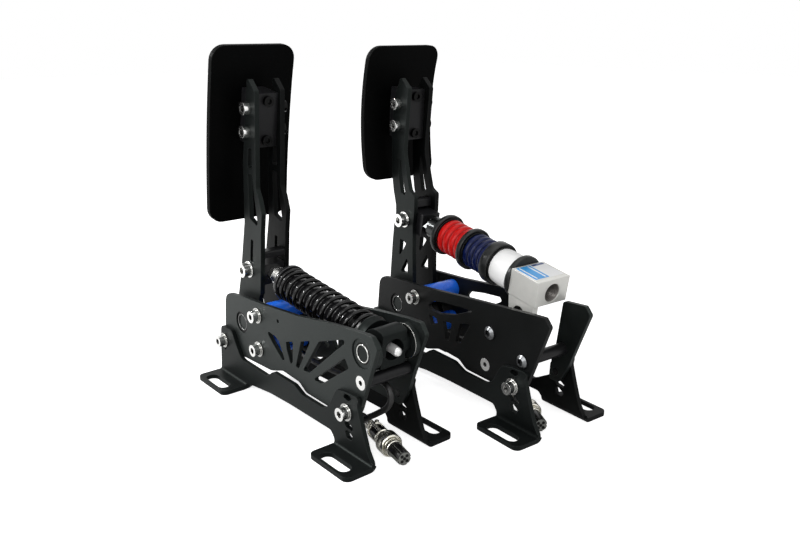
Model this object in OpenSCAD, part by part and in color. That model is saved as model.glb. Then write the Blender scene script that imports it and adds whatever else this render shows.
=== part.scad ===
// Sim racing pedal set: a throttle pedal and a load cell brake pedal, each on its own plate frame.
// Millimetres, +Z up, +Y the way a driver's foot pushes, +X to the driver's right.
// Each unit is drawn round its own pivot line: y is 0 at the pivot, z is 0 on the floor.

/* [Frame] */
// Width over the two side plates
frame_w = 40; // [36:1:48]
// Thickness of the side plates
plate_t = 3; // [2.5:0.5:5]
// Thickness of the angle brackets
bracket_t = 3; // [2.5:0.5:5]
// Width over the feet
feet_w = 86; // [80:1:100]
// Length of one foot, front to back
foot_l = 40; // [34:1:46]
// Front slot to rear slot
slot_pitch = 150; // [140:1:158]
// Slot to slot across the unit
slot_gauge = 72.5; // [70:0.5:76]
// Length of a slot, end to end
slot_l = 26.5; // [18:0.5:30]
// Width of a slot
slot_w = 9; // [7:0.5:10]
// Height of the arm pivot above the floor
pivot_h = 49; // [46:1:52]
// Length of the side plates ahead of the pivot
plate_l = 160; // [155:1:170]
// Height of the side plates at the front
plate_h = 84.5; // [82:1:90]

/* [Pivot and stops] */
// Radius of the pivot axle
axle_r = 5; // [4:0.5:6]
// Outer radius of the pivot bush
bush_r = 8; // [7:0.5:9]
// Distance of the stop bars ahead of the pivot
stop_y = 23.8; // [22:0.2:26]
// Height of the upper stop bar above the pivot
stop_up = 12; // [10:0.5:14]
// Depth of the lower stop bar below the pivot
stop_down = 13.3; // [12:0.1:15]
// Outer radius of the blue stop sleeves
sleeve_r = 7; // [6:0.5:8]
// Radius of the bars inside the sleeves
stop_bar_r = 4; // [3:0.5:5]
// Radius of the round cross tube at the front
tube_r = 4.2; // [3.8:0.2:5.5]

/* [Arms] */
// Width over the two arm plates
arm_w = 23.3; // [20:0.1:25]
// Thickness of an arm plate
arm_t = 3.5; // [3:0.5:4]
// Throttle travel in degrees
throttle_travel = 16; // [10:1:16]
// Brake travel in degrees
brake_travel = 7; // [4:1:8]
// Radius of the clevis screws
clevis_screw_r = 3; // [2.5:0.5:3.5]
// Height of the throttle rod joint above the pivot
throttle_rod_up = 39; // [36:0.5:42]
// Height of the brake rod joint above the pivot
brake_rod_up = 65.8; // [63:0.5:68]

/* [Face plates] */
// Width of both face plates
face_w = 63.5; // [56:0.5:70]
// Height of the throttle face plate
throttle_face_h = 124; // [110:1:130]
// Height of the brake face plate
brake_face_h = 99; // [90:1:110]
// Thickness of the face plates
face_t = 4; // [3:0.5:5]
// Corner radius of the face plates
face_corner = 10; // [6:1:16]
// Bend radius of the throttle face
throttle_face_bend = 750; // [500:10:1200]
// Bend radius of the brake face
brake_face_bend = 180; // [160:5:400]
// Distance from face plate to the screws in the arms
face_reach = 16; // [14:0.5:18]

/* [Throttle spring] */
// Outer radius of the spring
spring_r = 12.4; // [11.5:0.1:12.5]
// Radius of the spring wire
wire_r = 1.4; // [1.2:0.1:1.6]
// Curls of the spring
curls = 11; // [10:1:12]
// Radius of the sliding rods
rod_r = 3; // [2.5:0.5:3.5]
// Rod joint to the upper spring collar
collar_at = 28; // [26:0.5:30]
// Length of the upper collar
collar_l = 3; // [2.5:0.5:4]
// Radius of both spring collars
collar_r = 13; // [12.5:0.1:13.5]
// Length of the spring
spring_l = 88; // [84:1:90]
// Radius of the trunnion barrel
trunnion_r = 12.6; // [11:0.2:13]
// Distance of the trunnion ahead of the pivot
trunnion_y = 144.5; // [142:0.5:147]
// Height of the trunnion above the floor
trunnion_h = 71; // [70:0.5:73]

/* [Brake stack] */
// Radius of the black stack rings
ring_r = 15.2; // [14:0.2:16]
// Radius of the elastomers
rubber_r = 12.8; // [11:0.2:13.5]
// Bore radius of rings and elastomers
stack_bore = 4.9; // [4.6:0.1:6]
// Radius of the brake rod
brake_rod_r = 4; // [3.5:0.5:4.5]
// Rod joint to the first ring
stack_at = 35.7; // [34:0.5:38]
// Thickness of a ring
ring_l = 4.2; // [3:0.2:6]
// Thickness of the ring between blue and white
mid_ring_l = 7.4; // [6:0.2:9]
// Length of the red elastomer
red_l = 24.6; // [20:0.2:26]
// Length of the blue elastomer
navy_l = 20.4; // [18:0.2:24]
// Length of the white elastomer
white_l = 18.4; // [14:0.2:20]
// Fall of the brake rod in degrees
stack_fall = 9.3; // [8:0.1:10.5]
// Width of the load cell
cell_w = 28.6; // [24:0.2:30]
// Length of the load cell's head along the rod
cell_l = 24.5; // [22:0.5:27]
// Height of the load cell's head
cell_h = 17.5; // [16.5:0.5:20]
// Radius of the hole in the load cell
cell_bore = 6.4; // [5.5:0.1:7]
// Thickness of the load cell's leg
leg_t = 5; // [4:0.5:6]

/* [Cables] */
// Radius of the cables
cable_r = 2; // [1.6:0.1:2.4]
// Radius of the plug's coupling ring
plug_r = 7.5; // [6.5:0.1:8]
// Length of the plug, tail to front
plug_l = 48; // [42:1:54]

/* [Placement] */
// Brake unit's pivot to the left of the throttle's
brake_left = 112.8; // [104:0.2:130]
// Brake unit's pivot ahead of the throttle's
brake_ahead = 41.8; // [0:0.2:60]
// Turn of the brake unit on the floor
brake_turn = 3.5; // [0:0.5:6]

/* [Hidden] */
$fn = 48;

// Running clearance of a shaft in its bore
run = 0.05;
// Gap between pieces that must not rub
air = 0.3;
// Gap of a pressed or screwed fit
fit = 0.02;
// Screw sizes: shank radius, head radius, head height, key size across corners
m5_r = 2.5;
m5_head_r = 4.25;
m5_head_l = 5;
m5_key_r = 2.3;
m5_hole = m5_r + 0.15;
washer_r = 5.6;
washer_t = 1;
button_l = 2.6;
button_r = 4.6;
eps = 0.01;

half = frame_w / 2;
inner = half - plate_t;
flange = half + bracket_t;
arm_out = arm_w / 2;
arm_in = arm_out - arm_t;
pivot = [0, pivot_h];
stop_hi = [stop_y, pivot_h + stop_up];
stop_lo = [stop_y, pivot_h - stop_down];
front_foot_y = 138.4;
rear_foot_y = front_foot_y - slot_pitch;
foot_edge = feet_w / 2;
foot_corner = 4.5;
rear_screw = [-23, 29];
front_screw = [132.6, 29.8];

// Placement of the two units about the middle of the whole set
turn_c = cos(brake_turn);
turn_s = sin(brake_turn);
function brake_x(x, y) = -brake_left + x * turn_c + y * turn_s;
function brake_y(x, y) = brake_ahead - x * turn_s + y * turn_c;
foot_in = foot_edge - foot_corner;
front_end = front_foot_y + foot_l / 2;
rear_end = rear_foot_y - foot_l / 2;
set_left = brake_x(-foot_in, rear_end + foot_corner) - foot_corner;
set_front = brake_y(-foot_in, front_end - foot_corner) + foot_corner;
shift_x = -(foot_edge + set_left) / 2;
shift_y = -(set_front + rear_end) / 2;

module throttle_place() translate([shift_x, shift_y, 0]) children();
module brake_place()
  translate([shift_x - brake_left, shift_y + brake_ahead, 0])
    rotate([0, 0, -brake_turn]) children();
module both() {
  throttle_place() children();
  brake_place() children();
}
module sides() {
  children();
  mirror([1, 0, 0]) children();
}

// An outline from corners [y, z, radius]: each corner becomes a true arc within its two edges
function unit(v) = v / norm(v);
function flat2(v) = [v[0], v[1]];
function arc(p, a, b, r) =
  let (u = unit(a - p), v = unit(b - p),
       h = max(1, acos(max(-1, min(1, u * v))) / 2),
       t = min(r / tan(h), 0.46 * norm(a - p), 0.46 * norm(b - p)),
       q = t * tan(h),
       c = p + unit(u + v) * (q / sin(h)),
       s = p + u * t - c,
       e = p + v * t - c,
       a0 = atan2(s[1], s[0]),
       d0 = atan2(e[1], e[0]) - a0,
       d = d0 > 180 ? d0 - 360 : (d0 < -180 ? d0 + 360 : d0),
       n = max(2, ceil(abs(d) / 15)))
  [for (i = [0 : n]) c + q * [cos(a0 + d * i / n), sin(a0 + d * i / n)]];
function outline(k) =
  let (n = len(k))
  [for (i = [0 : n - 1])
    let (p = flat2(k[i]), a = flat2(k[(i + n - 1) % n]), b = flat2(k[(i + 1) % n]))
    each (len(k[i]) > 2 && k[i][2] > 0 ? arc(p, a, b, k[i][2]) : [p])];

// A sheet standing in the YZ plane from x0, thickness t
module sheet(x0, t) translate([x0, 0, 0]) rotate([90, 0, 90]) linear_extrude(t) children();
module shape(k) polygon(outline(k));
// A round bar along X
module bar(at, r, x0, x1)
  translate([x0, at[0], at[1]]) rotate([0, 90, 0]) cylinder(r = r, h = x1 - x0);
module ring(at, r, bore, x0, x1)
  translate([x0, at[0], at[1]]) rotate([0, 90, 0]) difference() {
    cylinder(r = r, h = x1 - x0);
    translate([0, 0, -1]) cylinder(r = bore, h = x1 - x0 + 2);
  }
// A socket cap screw along X with its head's seat at x and its shank going to -X
module cap_screw(at, x, l, r = m5_r, head_r = m5_head_r, head_l = m5_head_l)
  translate([x, at[0], at[1]]) rotate([0, 90, 0]) difference() {
    union() {
      cylinder(r = head_r, h = head_l);
      translate([0, 0, -l]) cylinder(r = r, h = l + 0.5);
    }
    translate([0, 0, head_l * 0.5]) cylinder(r = head_r * 0.55, h = head_l, $fn = 6);
  }
module button_screw(at, x, l)
  translate([x, at[0], at[1]]) rotate([0, 90, 0]) difference() {
    union() {
      cylinder(r = button_r, h = button_l * 0.4);
      translate([0, 0, button_l * 0.4])
        cylinder(r1 = button_r, r2 = button_r * 0.55, h = button_l * 0.6);
      translate([0, 0, -l]) cylinder(r = m5_r, h = l + 0.5);
    }
    translate([0, 0, button_l * 0.4]) cylinder(r = m5_key_r, h = button_l, $fn = 6);
  }
// A countersunk screw flush with x
module flat_screw(at, x, l)
  translate([x, at[0], at[1]]) rotate([0, 90, 0]) difference() {
    union() {
      translate([0, 0, -2.4]) cylinder(r1 = m5_r, r2 = m5_head_r + 0.3, h = 2.4);
      translate([0, 0, -l]) cylinder(r = m5_r, h = l - 1);
    }
    translate([0, 0, -1.6]) cylinder(r = m5_key_r * 0.8, h = 3, $fn = 6);
  }
module flat_seat(at, x)
  translate([x, at[0], at[1]]) rotate([0, 90, 0])
    translate([0, 0, -2.5]) cylinder(r1 = m5_r, r2 = m5_head_r + 0.4, h = 2.5 + eps);

// Side plates: an outline that follows the plate length, front height and pivot height
py = plate_l / 160;
pz = plate_h / 84.5;
function sp(y, z, r = 0) = [y > 0 ? y * py : y, z < 30 ? z : 30 + (z - 30) * (pz * 84.5 - 30) / 54.5, r];
side_top_rear = [
  sp(-26.6, 22, 3), sp(-25.8, 40, 12), sp(-22.6, 66.3, 9.5), sp(-1, 69), sp(35, 71.4)
];
side_front = [sp(159.4, 77.9, 2), sp(142.6, 34, 12), sp(136.5, 23, 4)];
side_under = [
  sp(83, 23.5, 6), sp(75, 28.3, 6), sp(54.5, 29.4, 6), sp(46, 26.5, 6), sp(39, 24.3, 10), sp(1, 22.2)
];
throttle_top = [sp(75, 75.1), sp(113, 80.8), sp(143, 84.2, 20), sp(154.7, 84.5, 2)];
brake_top = [sp(75, 75.7), sp(113, 79.3), sp(143, 82.2), sp(154.7, 83.1, 2)];
function side_outline(top) = concat(side_top_rear, top, side_front, side_under);
// The brake's left plate is cut through: a rear part and a front part
brake_rear_part = concat(side_top_rear,
  [sp(75, 75.7), sp(84, 76.6, 3), sp(90, 60, 5), sp(95, 46, 6), sp(101, 30, 5), sp(99, 23.4, 3)], side_under);
brake_front_part = concat([sp(136, 81.5, 2.5), sp(154.7, 83.1, 2)], side_front,
  [sp(127.2, 23, 2), sp(127.8, 35, 3), sp(130.6, 38, 4), sp(131.9, 50.5, 3)]);

// Knife-shaped lightening holes of the throttle plates
throttle_holes = [
  [sp(34, 53.3, 1.5), sp(45.9, 52.4, 1.5), sp(50.9, 50.3, 1.5), sp(57.6, 38.6, 1), sp(54.9, 37, 1), sp(41.5, 46.7, 3)],
  [sp(59.9, 52.4, 1), sp(68.9, 55.2, 1), sp(67.8, 40.5, 1), sp(65.1, 37.4, 1), sp(60.8, 46.9, 2)],
  [sp(78.7, 58.3, 1), sp(90.6, 62.6, 1), sp(75, 37.9, 1), sp(71.3, 38.1, 1)],
  [sp(99.8, 64.9, 1), sp(126.9, 74.6, 1), sp(127.8, 72.3, 1), sp(117.1, 63.7, 2), sp(88.1, 39.5, 1), sp(79.8, 38.1, 1)],
  [sp(127.6, 62.8, 1), sp(131.5, 57.2, 1), sp(101.7, 36.6, 1), sp(91.5, 35.8, 1)]
];
brake_slot = [
  sp(38.8, 58.2, 2), sp(43.4, 63.5, 3), sp(58.3, 66.1, 1), sp(78, 68, 1), sp(90.5, 68.2, 1),
  sp(82.3, 66, 2), sp(69.5, 60.2, 2), sp(52.7, 56.1, 2), sp(42.5, 56, 2)
];
brake_slot_short = [
  sp(38.8, 58.2, 2), sp(43.4, 63.5, 3), sp(58.3, 66.1, 1), sp(76, 67.8, 1),
  sp(78.2, 65, 1.5), sp(69.5, 60.2, 2), sp(52.7, 56.1, 2), sp(42.5, 56, 2)
];
brake_holes = [
  [sp(40, 52, 1), sp(49, 51.5, 1), sp(51, 48, 1), sp(43, 45, 1)],
  [sp(56.4, 51.9, 1), sp(66.5, 52.7, 1), sp(63.5, 38.7, 1), sp(60, 38, 1)],
  [sp(75.1, 55.5, 1), sp(86.7, 58.5, 1), sp(76, 41, 1), sp(70.2, 39.3, 1)]
];

module side_plate(edge, holes) difference() {
  sheet(inner, plate_t) difference() {
    shape(edge);
    for (h = holes) shape(h);
  }
  bar(pivot, bush_r, inner - 1, half + 1);
  for (at = [stop_hi, stop_lo, rear_screw, front_screw]) bar(at, m5_hole, inner - 1, half + 1);
}
throttle_tube = [142.9, 51.7];
brake_tube = [137.6, 48.3];
trunnion = [trunnion_y, trunnion_h];
journal_r = 6.8;
mount_hi = [106.3, 58.3];
mount_lo = [102.2, 33.7];

module throttle_side() difference() {
  side_plate(side_outline(throttle_top), throttle_holes);
  bar([50.7, 64.4], 1.4, inner - 1, half + 1);
  bar(throttle_tube, m5_hole, inner - 1, half + 1);
  flat_seat(throttle_tube, half);
  bar(trunnion, trunnion_bush_r, inner - 1, half + 1);
}
module brake_side() difference() {
  side_plate(side_outline(brake_top), concat(brake_holes, [brake_slot]));
  bar(brake_tube, m5_hole, inner - 1, half + 1);
  bar(mount_hi, m5_hole, inner - 1, half + 1);
  bar(mount_lo, m5_hole, inner - 1, half + 1);
  flat_seat(mount_lo, half);
}
module throttle_side_plate_right() color("#2b2e30") throttle_place() throttle_side();
module throttle_side_plate_left() color("#2b2e30") throttle_place() mirror([1, 0, 0]) throttle_side();
module brake_side_plate_right() color("#2b2e30") brake_place() brake_side();
module brake_side_plate_left() color("#2b2e30") brake_place() mirror([1, 0, 0])
  side_plate(brake_rear_part, concat(brake_holes, [brake_slot_short]));
module brake_front_plate_left() color("#2b2e30") brake_place() mirror([1, 0, 0]) difference() {
  sheet(inner, plate_t) shape(brake_front_part);
  bar(brake_tube, m5_hole, inner - 1, half + 1);
  bar(front_screw, m5_hole, inner - 1, half + 1);
}

// Angle brackets: a flange on the side plate, and two slotted feet bent out from it
foot_rear_a = rear_end;
foot_rear_b = rear_foot_y + foot_l / 2;
foot_front_a = front_foot_y - foot_l / 2;
foot_front_b = front_end;
bend_in = 2;
bend_out = bend_in + bracket_t;
flange_rear = [
  [foot_rear_a, 0], [foot_rear_a + 1, 9.8, 4], [-29.6, 21.6, 6], [-28, 36, 0], [-26.6, 39.6, 4],
  [-11.4, 39.6, 4], [-4, 28, 8], [1.5, 21, 8], [38, 20.4, 8], [46, 26.4, 6], [73, 26.4, 6], [83, 22.3, 6]
];
flange_tab = [[131, 42.6, 6], [144.6, 43.2, 3], [143.2, 38, 4], [146.3, 28, 8], [149.5, 19, 8], [152.5, 11, 6],
  [156.5, 5, 4], [foot_front_b, 0], [foot_front_a, 0]];
flange_end = [[41.7, 8.6, 10], [foot_rear_b + 5, 5, 3], [foot_rear_b, 0]];
flange_full = concat(flange_rear, [[106, 22.3, 8], [113, 26, 6], [121.5, 40.6, 3]], flange_tab,
  [[foot_front_a, 6, 2], [115, 10.4, 4], [68, 9.8, 10]], flange_end);
// The brake's left rail dips where the plate above it is cut through
flange_dip = concat(flange_rear, [[96, 22.3, 8], [107, 13.8, 8], [125.7, 24.4, 2], [126, 41.2, 3]], flange_tab,
  [[foot_front_a, 5, 2], [115, 7.8, 4], [68, 7.8, 10]], flange_end);
leaf_top = [[128.8, 38.4, 1], [131, 41.6, 1.5], [137, 41.9, 1], [137.6, 39.5, 2], [134, 37.4, 2]];
leaf_mid = [[129.3, 22.2, 1], [134, 23.6, 2], [139.2, 20.6, 1], [137.5, 18.5, 1.5], [131.4, 19.2, 1.5]];
leaf_low = [[130.4, 16.6, 1], [134, 17.6, 1.5], [138.6, 14.8, 1], [137, 11.8, 1.5], [132, 12.2, 1.5]];
module bracket(edge = flange_full) difference() {
  union() {
    sheet(half, bracket_t) shape(edge);
    for (y = [rear_foot_y, front_foot_y])
      linear_extrude(bracket_t) shape([
        [half, y - foot_l / 2], [half, y + foot_l / 2],
        [foot_edge, y + foot_l / 2, foot_corner], [foot_edge, y - foot_l / 2, foot_corner]
      ]);
    for (y = [rear_foot_y, front_foot_y])
      translate([flange, y + foot_l / 2 - 0.5, bracket_t]) rotate([90, 0, 0])
        linear_extrude(foot_l - 1) difference() {
          translate([-0.5, -0.5]) square(bend_in + 0.5);
          translate([bend_in, bend_in]) circle(bend_in);
        }
  }
  for (y = [rear_foot_y, front_foot_y]) translate([slot_gauge / 2, y, -1]) slot(bracket_t + 2);
  // rounded outer bend
  for (y = [rear_foot_y, front_foot_y])
    translate([half, y + foot_l, 0]) rotate([90, 0, 0]) linear_extrude(foot_l * 2) difference() {
      translate([-1, -1]) square(bend_out + 1);
      translate([bend_out, bend_out]) circle(bend_out);
    }
  for (at = [rear_screw, front_screw]) bar(at, m5_hole, half - 1, flange + 1);
  for (k = [leaf_top, leaf_mid, leaf_low]) sheet(half - 1, bracket_t + 2) shape(k);
  bar([-22.6, 22.4], 1.3, half - 1, flange + 1);
}
module slot(h) {
  for (s = [-1, 1]) translate([0, s * (slot_l - slot_w) / 2, 0]) cylinder(r = slot_w / 2, h = h);
  translate([-slot_w / 2, -(slot_l - slot_w) / 2, 0]) cube([slot_w, slot_l - slot_w, h]);
}
module throttle_bracket_right() color("#26292b") throttle_place() bracket();
module throttle_bracket_left() color("#26292b") throttle_place() mirror([1, 0, 0]) bracket();
module brake_bracket_right() color("#26292b") brake_place() bracket();
module brake_bracket_left() color("#26292b") brake_place() mirror([1, 0, 0]) bracket(flange_dip);

// Flanged bushes in the side plates: four for the pivots, two for the trunnion
bush_flange = 1.8;
trunnion_flange = 4.2;
module bush(at, r, flange_r, flange_l, bore) difference() {
  union() {
    bar(at, r, inner, half - 0.8);
    bar(at, flange_r, inner - flange_l, inner);
  }
  bar(at, bore + run, inner - flange_l - 1, half);
}
module pivot_bushes() color("#8d8a80") {
  both() sides() bush(pivot, bush_r, bush_r + 2, bush_flange, axle_r);
  throttle_place() sides() bush(trunnion, trunnion_bush_r, trunnion_bush_r + 1.6, trunnion_flange, journal_r);
}
module axle() bar(pivot, axle_r, -(half - 1.2), half - 1.2);
module hub_rings() {
  sides() ring(pivot, axle_r + 3, axle_r + fit, arm_out, inner - bush_flange - 0.1);
  ring(pivot, axle_r + 4, axle_r + fit, -arm_in, arm_in);
}
module throttle_axle() color("#55585a") throttle_place() axle();
module brake_axle() color("#55585a") brake_place() axle();
module throttle_hub_rings() color("#6d7072") throttle_place() hub_rings();
module brake_hub_rings() color("#6d7072") brake_place() hub_rings();

// Stop bars with blue sleeves, front tubes, screws
module stop_bars() color("#4a4d50") both() for (at = [stop_hi, stop_lo]) difference() {
  bar(at, stop_bar_r, -inner, inner);
  sides() bar(at, m5_hole, inner - stop_screw_in - 0.5, inner + 1);
}
module stop_sleeves() color("#1f55d8") both()
  for (at = [stop_hi, stop_lo]) ring(at, sleeve_r, stop_bar_r, -inner + 0.1, inner - 0.1);
module front_tubes() color("#2a2c2e") {
  throttle_place() ring(throttle_tube, tube_r, m5_hole, -inner, inner);
  brake_place() ring(brake_tube, tube_r, m5_hole, -inner, inner);
}
stop_screw_in = 8;
module frame_screws() color("#c9ccce") both() sides() {
  for (at = [stop_hi, stop_lo]) cap_screw(at, half + washer_t, plate_t + washer_t + stop_screw_in);
  for (at = [rear_screw, front_screw])
    cap_screw(at, flange + washer_t, bracket_t + plate_t + washer_t);
}
module frame_washers() color("#b4b7b9") both() sides() {
  for (at = [stop_hi, stop_lo]) ring(at, washer_r, m5_hole, half, half + washer_t);
  for (at = [rear_screw, front_screw]) ring(at, washer_r, m5_hole, flange, flange + washer_t);
}
module flat_screws() color("#d5d7d8") {
  throttle_place() sides() flat_screw(throttle_tube, half, plate_t + 8);
  brake_place() flat_screw(mount_lo, half, plate_t + 6);
}
module button_screws() color("#77797b") brake_place() {
  button_screw(mount_hi, half, plate_t + 6);
  sides() button_screw(brake_tube, half, plate_t + 8);
}

// Arms: two plates each, with a toe that rests on the lower sleeve
toe = [
  [-15, 50, 6], [-9, 39, 6], [2, 33.5, 5], [19, 33.5, 3], [19, 41, 3], [13, 50, 6]
];
throttle_arm_front = [
  [13.2, 61, 0], [15, 76], [17.2, 95], [19.4, 117.3, 10], [21.8, 131.8, 3], [18.7, 142, 6], [15.5, 148, 6],
  [20.4, 214.5, 2], [11.6, 223.5, 1.5]
];
throttle_arm_rear = [[0, 166.6, 20], [-2.9, 122.3], [-13, 79.6], [-17.9, 64, 6]];
throttle_windows = [
  [[4.9, 111, 1.2], [8.4, 111, 1.2], [5.9, 94.3, 1.2], [2.4, 94.3, 1.2]],
  [[5, 126.2, 1], [16, 121.9, 1.5], [12.5, 146, 3], [11.3, 158, 1], [5.5, 158, 1]],
  [[5.8, 162.5, 1], [11.8, 162.5, 1], [12.4, 176, 1], [8.2, 176, 1]]
];
brake_arm_front = [
  [9.6, 61], [9.2, 71.4], [9, 101.2], [8.9, 112.2], [10.5, 120.7, 4], [11.2, 134.3, 2], [4.6, 137.7, 4],
  [1.3, 149.2, 10], [-2.6, 165.5, 20], [2.8, 212.2, 2], [-6.4, 220.2, 1.5]
];
brake_arm_rear = [
  [-14, 205, 20], [-17.5, 180, 20], [-17.3, 147.5, 10], [-15.4, 135.2], [-12.4, 124.1, 6],
  [-12.4, 117.8, 6], [-14.1, 113.6], [-16.8, 95.2], [-20.1, 64.6, 6]
];
brake_windows = [
  [[-8, 160, 1], [-6.5, 160, 1], [-3, 143.7, 1], [0.3, 132.6, 1.5], [-6, 134.7, 1], [-8.5, 147, 2]],
  [[-6.6, 98.9, 1], [0.9, 96.2, 1], [-8.8, 82.7, 1]],
  [[2.6, 86.4, 1], [2.7, 72.8, 1], [-6.6, 72.1, 1]]
];
// Point turned about the pivot by the pedal's travel
function swing(at, deg) =
  let (v = at - pivot) pivot + [v[0] * cos(deg) - v[1] * sin(deg), v[0] * sin(deg) + v[1] * cos(deg)];
module arm_plate(front, rear, windows, travel, rod_at, block_holes) difference() {
  sheet(arm_in, arm_t) difference() {
    shape(concat(toe, front, rear));
    for (w = windows) shape(w);
  }
  bar(pivot, axle_r + fit, arm_in - 1, arm_out + 1);
  for (at = [stop_hi, stop_lo]) for (i = [0 : 6])
    bar(swing(at, travel * i / 6), sleeve_r + air, arm_in - 1, arm_out + 1);
  bar(rod_at, clevis_screw_r + fit, arm_in - 1, arm_out + 1);
  for (at = block_holes) bar(at, m5_hole, arm_in - 1, arm_out + 1);
}

// Face plates: their own frame is [forward, up] from the middle of the driver's side, leaned forward
throttle_face_at = [-12.5, 183.5];
throttle_lean = 9.6;
throttle_block_up = 15;
brake_face_at = [-29.1, 193.2];
brake_lean = 4;
brake_block_up = 1;
function face_point(at, lean, u, w) =
  [at[0] + u * cos(lean) + w * sin(lean), at[1] - u * sin(lean) + w * cos(lean)];
module face_frame(at, lean) translate([0, at[0], at[1]]) rotate([-lean, 0, 0]) children();
side_screw_pitch = 16;
face_screw_pitch = 27;
block_h = 37;
block_front = face_t + face_reach + 5;
function side_screws(at, lean, up) =
  [for (s = [-1, 1]) face_point(at, lean, face_t + face_reach, up + s * side_screw_pitch / 2)];
throttle_rod_at = [0.7, pivot_h + throttle_rod_up];
brake_rod_at = [-1.1, pivot_h + brake_rod_up];
// Crosspieces between the arm plates, just over the clevis: [rear, bottom, front, top]
cross_over = 10.4;
throttle_cross = [8.6, throttle_rod_at[1] + cross_over, 17.6, throttle_rod_at[1] + cross_over + 5.2];
brake_cross = [-3.5, brake_rod_at[1] + 8.8, 5.8, brake_rod_at[1] + 15.4];
throttle_side_screws = side_screws(throttle_face_at, throttle_lean, throttle_block_up);
brake_side_screws = side_screws(brake_face_at, brake_lean, brake_block_up);

module throttle_arm()
  arm_plate(throttle_arm_front, throttle_arm_rear, throttle_windows, throttle_travel, throttle_rod_at,
            throttle_side_screws);
module brake_arm()
  arm_plate(brake_arm_front, brake_arm_rear, brake_windows, brake_travel, brake_rod_at,
            brake_side_screws);
module throttle_arm_right() color("#2f3234") throttle_place() throttle_arm();
module throttle_arm_left() color("#2f3234") throttle_place() mirror([1, 0, 0]) throttle_arm();
module brake_arm_right() color("#2f3234") brake_place() brake_arm();
module brake_arm_left() color("#2f3234") brake_place() mirror([1, 0, 0]) brake_arm();
module throttle_arm_crossbar() color("#232527") throttle_place() crosspiece(throttle_cross);
module brake_arm_crossbar() color("#232527") brake_place() crosspiece(brake_cross);
module crosspiece(c) sheet(-arm_in, arm_in * 2)
  shape([[c[0], c[1], 0.6], [c[0], c[3], 0.6], [c[2], c[3], 1.2], [c[2], c[1], 1.2]]);

module face_plate(h, bend) intersection() {
  translate([0, bend, 0]) rotate([0, 90, 0]) translate([0, 0, -face_w]) difference() {
    cylinder(r = bend, h = face_w * 2, $fn = 180);
    translate([0, 0, -1]) cylinder(r = bend - face_t, h = face_w * 2 + 2, $fn = 180);
  }
  translate([0, 30, 0]) rotate([90, 0, 0]) linear_extrude(60) shape([
    [-face_w / 2, -h / 2, face_corner], [face_w / 2, -h / 2, face_corner],
    [face_w / 2, h / 2, face_corner], [-face_w / 2, h / 2, face_corner]
  ]);
}
module throttle_face_plate() color("#1b1c1e") throttle_place()
  face_frame(throttle_face_at, throttle_lean) face_plate(throttle_face_h, throttle_face_bend);
module brake_face_plate() color("#1b1c1e") brake_place()
  face_frame(brake_face_at, brake_lean) face_plate(brake_face_h, brake_face_bend);

// Block between the arms that carries the face plate; its back follows the plate's bend
module face_block(up, bend) difference() {
  translate([-arm_in, 0, up - block_h / 2]) cube([arm_in * 2, block_front, block_h]);
  translate([0, bend, 0]) rotate([0, 90, 0]) translate([0, 0, -arm_in - 1]) difference() {
    cylinder(r = bend + 20, h = arm_in * 2 + 2, $fn = 180);
    translate([0, 0, -1]) cylinder(r = bend - face_t - fit, h = arm_in * 2 + 4, $fn = 180);
  }
  for (s = [-1, 1]) {
    translate([0, 0, up + s * side_screw_pitch / 2]) sides()
      bar([face_t + face_reach, 0], m5_hole, arm_in - 6.5, arm_in + 1);
    translate([0, block_front + 1, up + s * face_screw_pitch / 2]) rotate([90, 0, 0])
      cylinder(r = m5_hole, h = block_front + 2);
  }
}
module throttle_face_block() color("#202224") throttle_place()
  face_frame(throttle_face_at, throttle_lean) face_block(throttle_block_up, throttle_face_bend);
module brake_face_block() color("#202224") brake_place()
  face_frame(brake_face_at, brake_lean) face_block(brake_block_up, brake_face_bend);

// Screws of an arm: four into the block's sides, two through the block into the face
module arm_screws(at, lean, up, holes, bend) {
  sides() for (p = holes) cap_screw(p, arm_out, arm_t + 6);
  face_frame(at, lean) for (s = [-1, 1])
    let (z = up + s * face_screw_pitch / 2, back = bend - sqrt(pow(bend - face_t, 2) - z * z))
    translate([0, 0, z]) rotate([0, 0, 90])
      cap_screw([0, 0], block_front, block_front - back - 0.4, m5_r, 3.6, 2.6);
}
module throttle_arm_screws() color("#c9ccce") throttle_place()
  arm_screws(throttle_face_at, throttle_lean, throttle_block_up, throttle_side_screws, throttle_face_bend);
module brake_arm_screws() color("#c9ccce") brake_place()
  arm_screws(brake_face_at, brake_lean, brake_block_up, brake_side_screws, brake_face_bend);

// Rods: their own frame runs along +Y from the clevis screw, falling towards the front
throttle_fall = atan2(throttle_rod_at[1] - trunnion_h, trunnion_y - throttle_rod_at[0]);
rod_span = norm(trunnion - throttle_rod_at);
module rod_frame(at, fall) translate([0, at[0], at[1]]) rotate([-fall, 0, 0]) children();
module along(a0, a1, r) translate([0, a0, 0]) rotate([-90, 0, 0]) cylinder(r = r, h = a1 - a0);
module sleeve(a0, a1, r, bore) difference() {
  along(a0, a1, r);
  along(a0 - 1, a1 + 1, bore);
}
module nut(a0, a1, flats, bore) difference() {
  translate([0, a0, 0]) rotate([-90, 0, 0]) cylinder(r = flats / 2 / cos(30), h = a1 - a0, $fn = 6);
  along(a0 - 1, a1 + 1, bore);
}
clevis_half = arm_in - air;
module clevis_screw(at) {
  cap_screw(at, arm_out + washer_t, arm_w + washer_t + 5.5, clevis_screw_r, 5, 5.6);
  ring(at, 6, clevis_screw_r, arm_out, arm_out + washer_t);
  translate([-arm_out - 5, at[0], at[1]]) rotate([0, 90, 0]) difference() {
    cylinder(r = 5.7, h = 5, $fn = 6);
    translate([0, 0, -1]) cylinder(r = clevis_screw_r, h = 7);
  }
}
module throttle_clevis_screw() color("#c9ccce") throttle_place() clevis_screw(throttle_rod_at);
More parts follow.
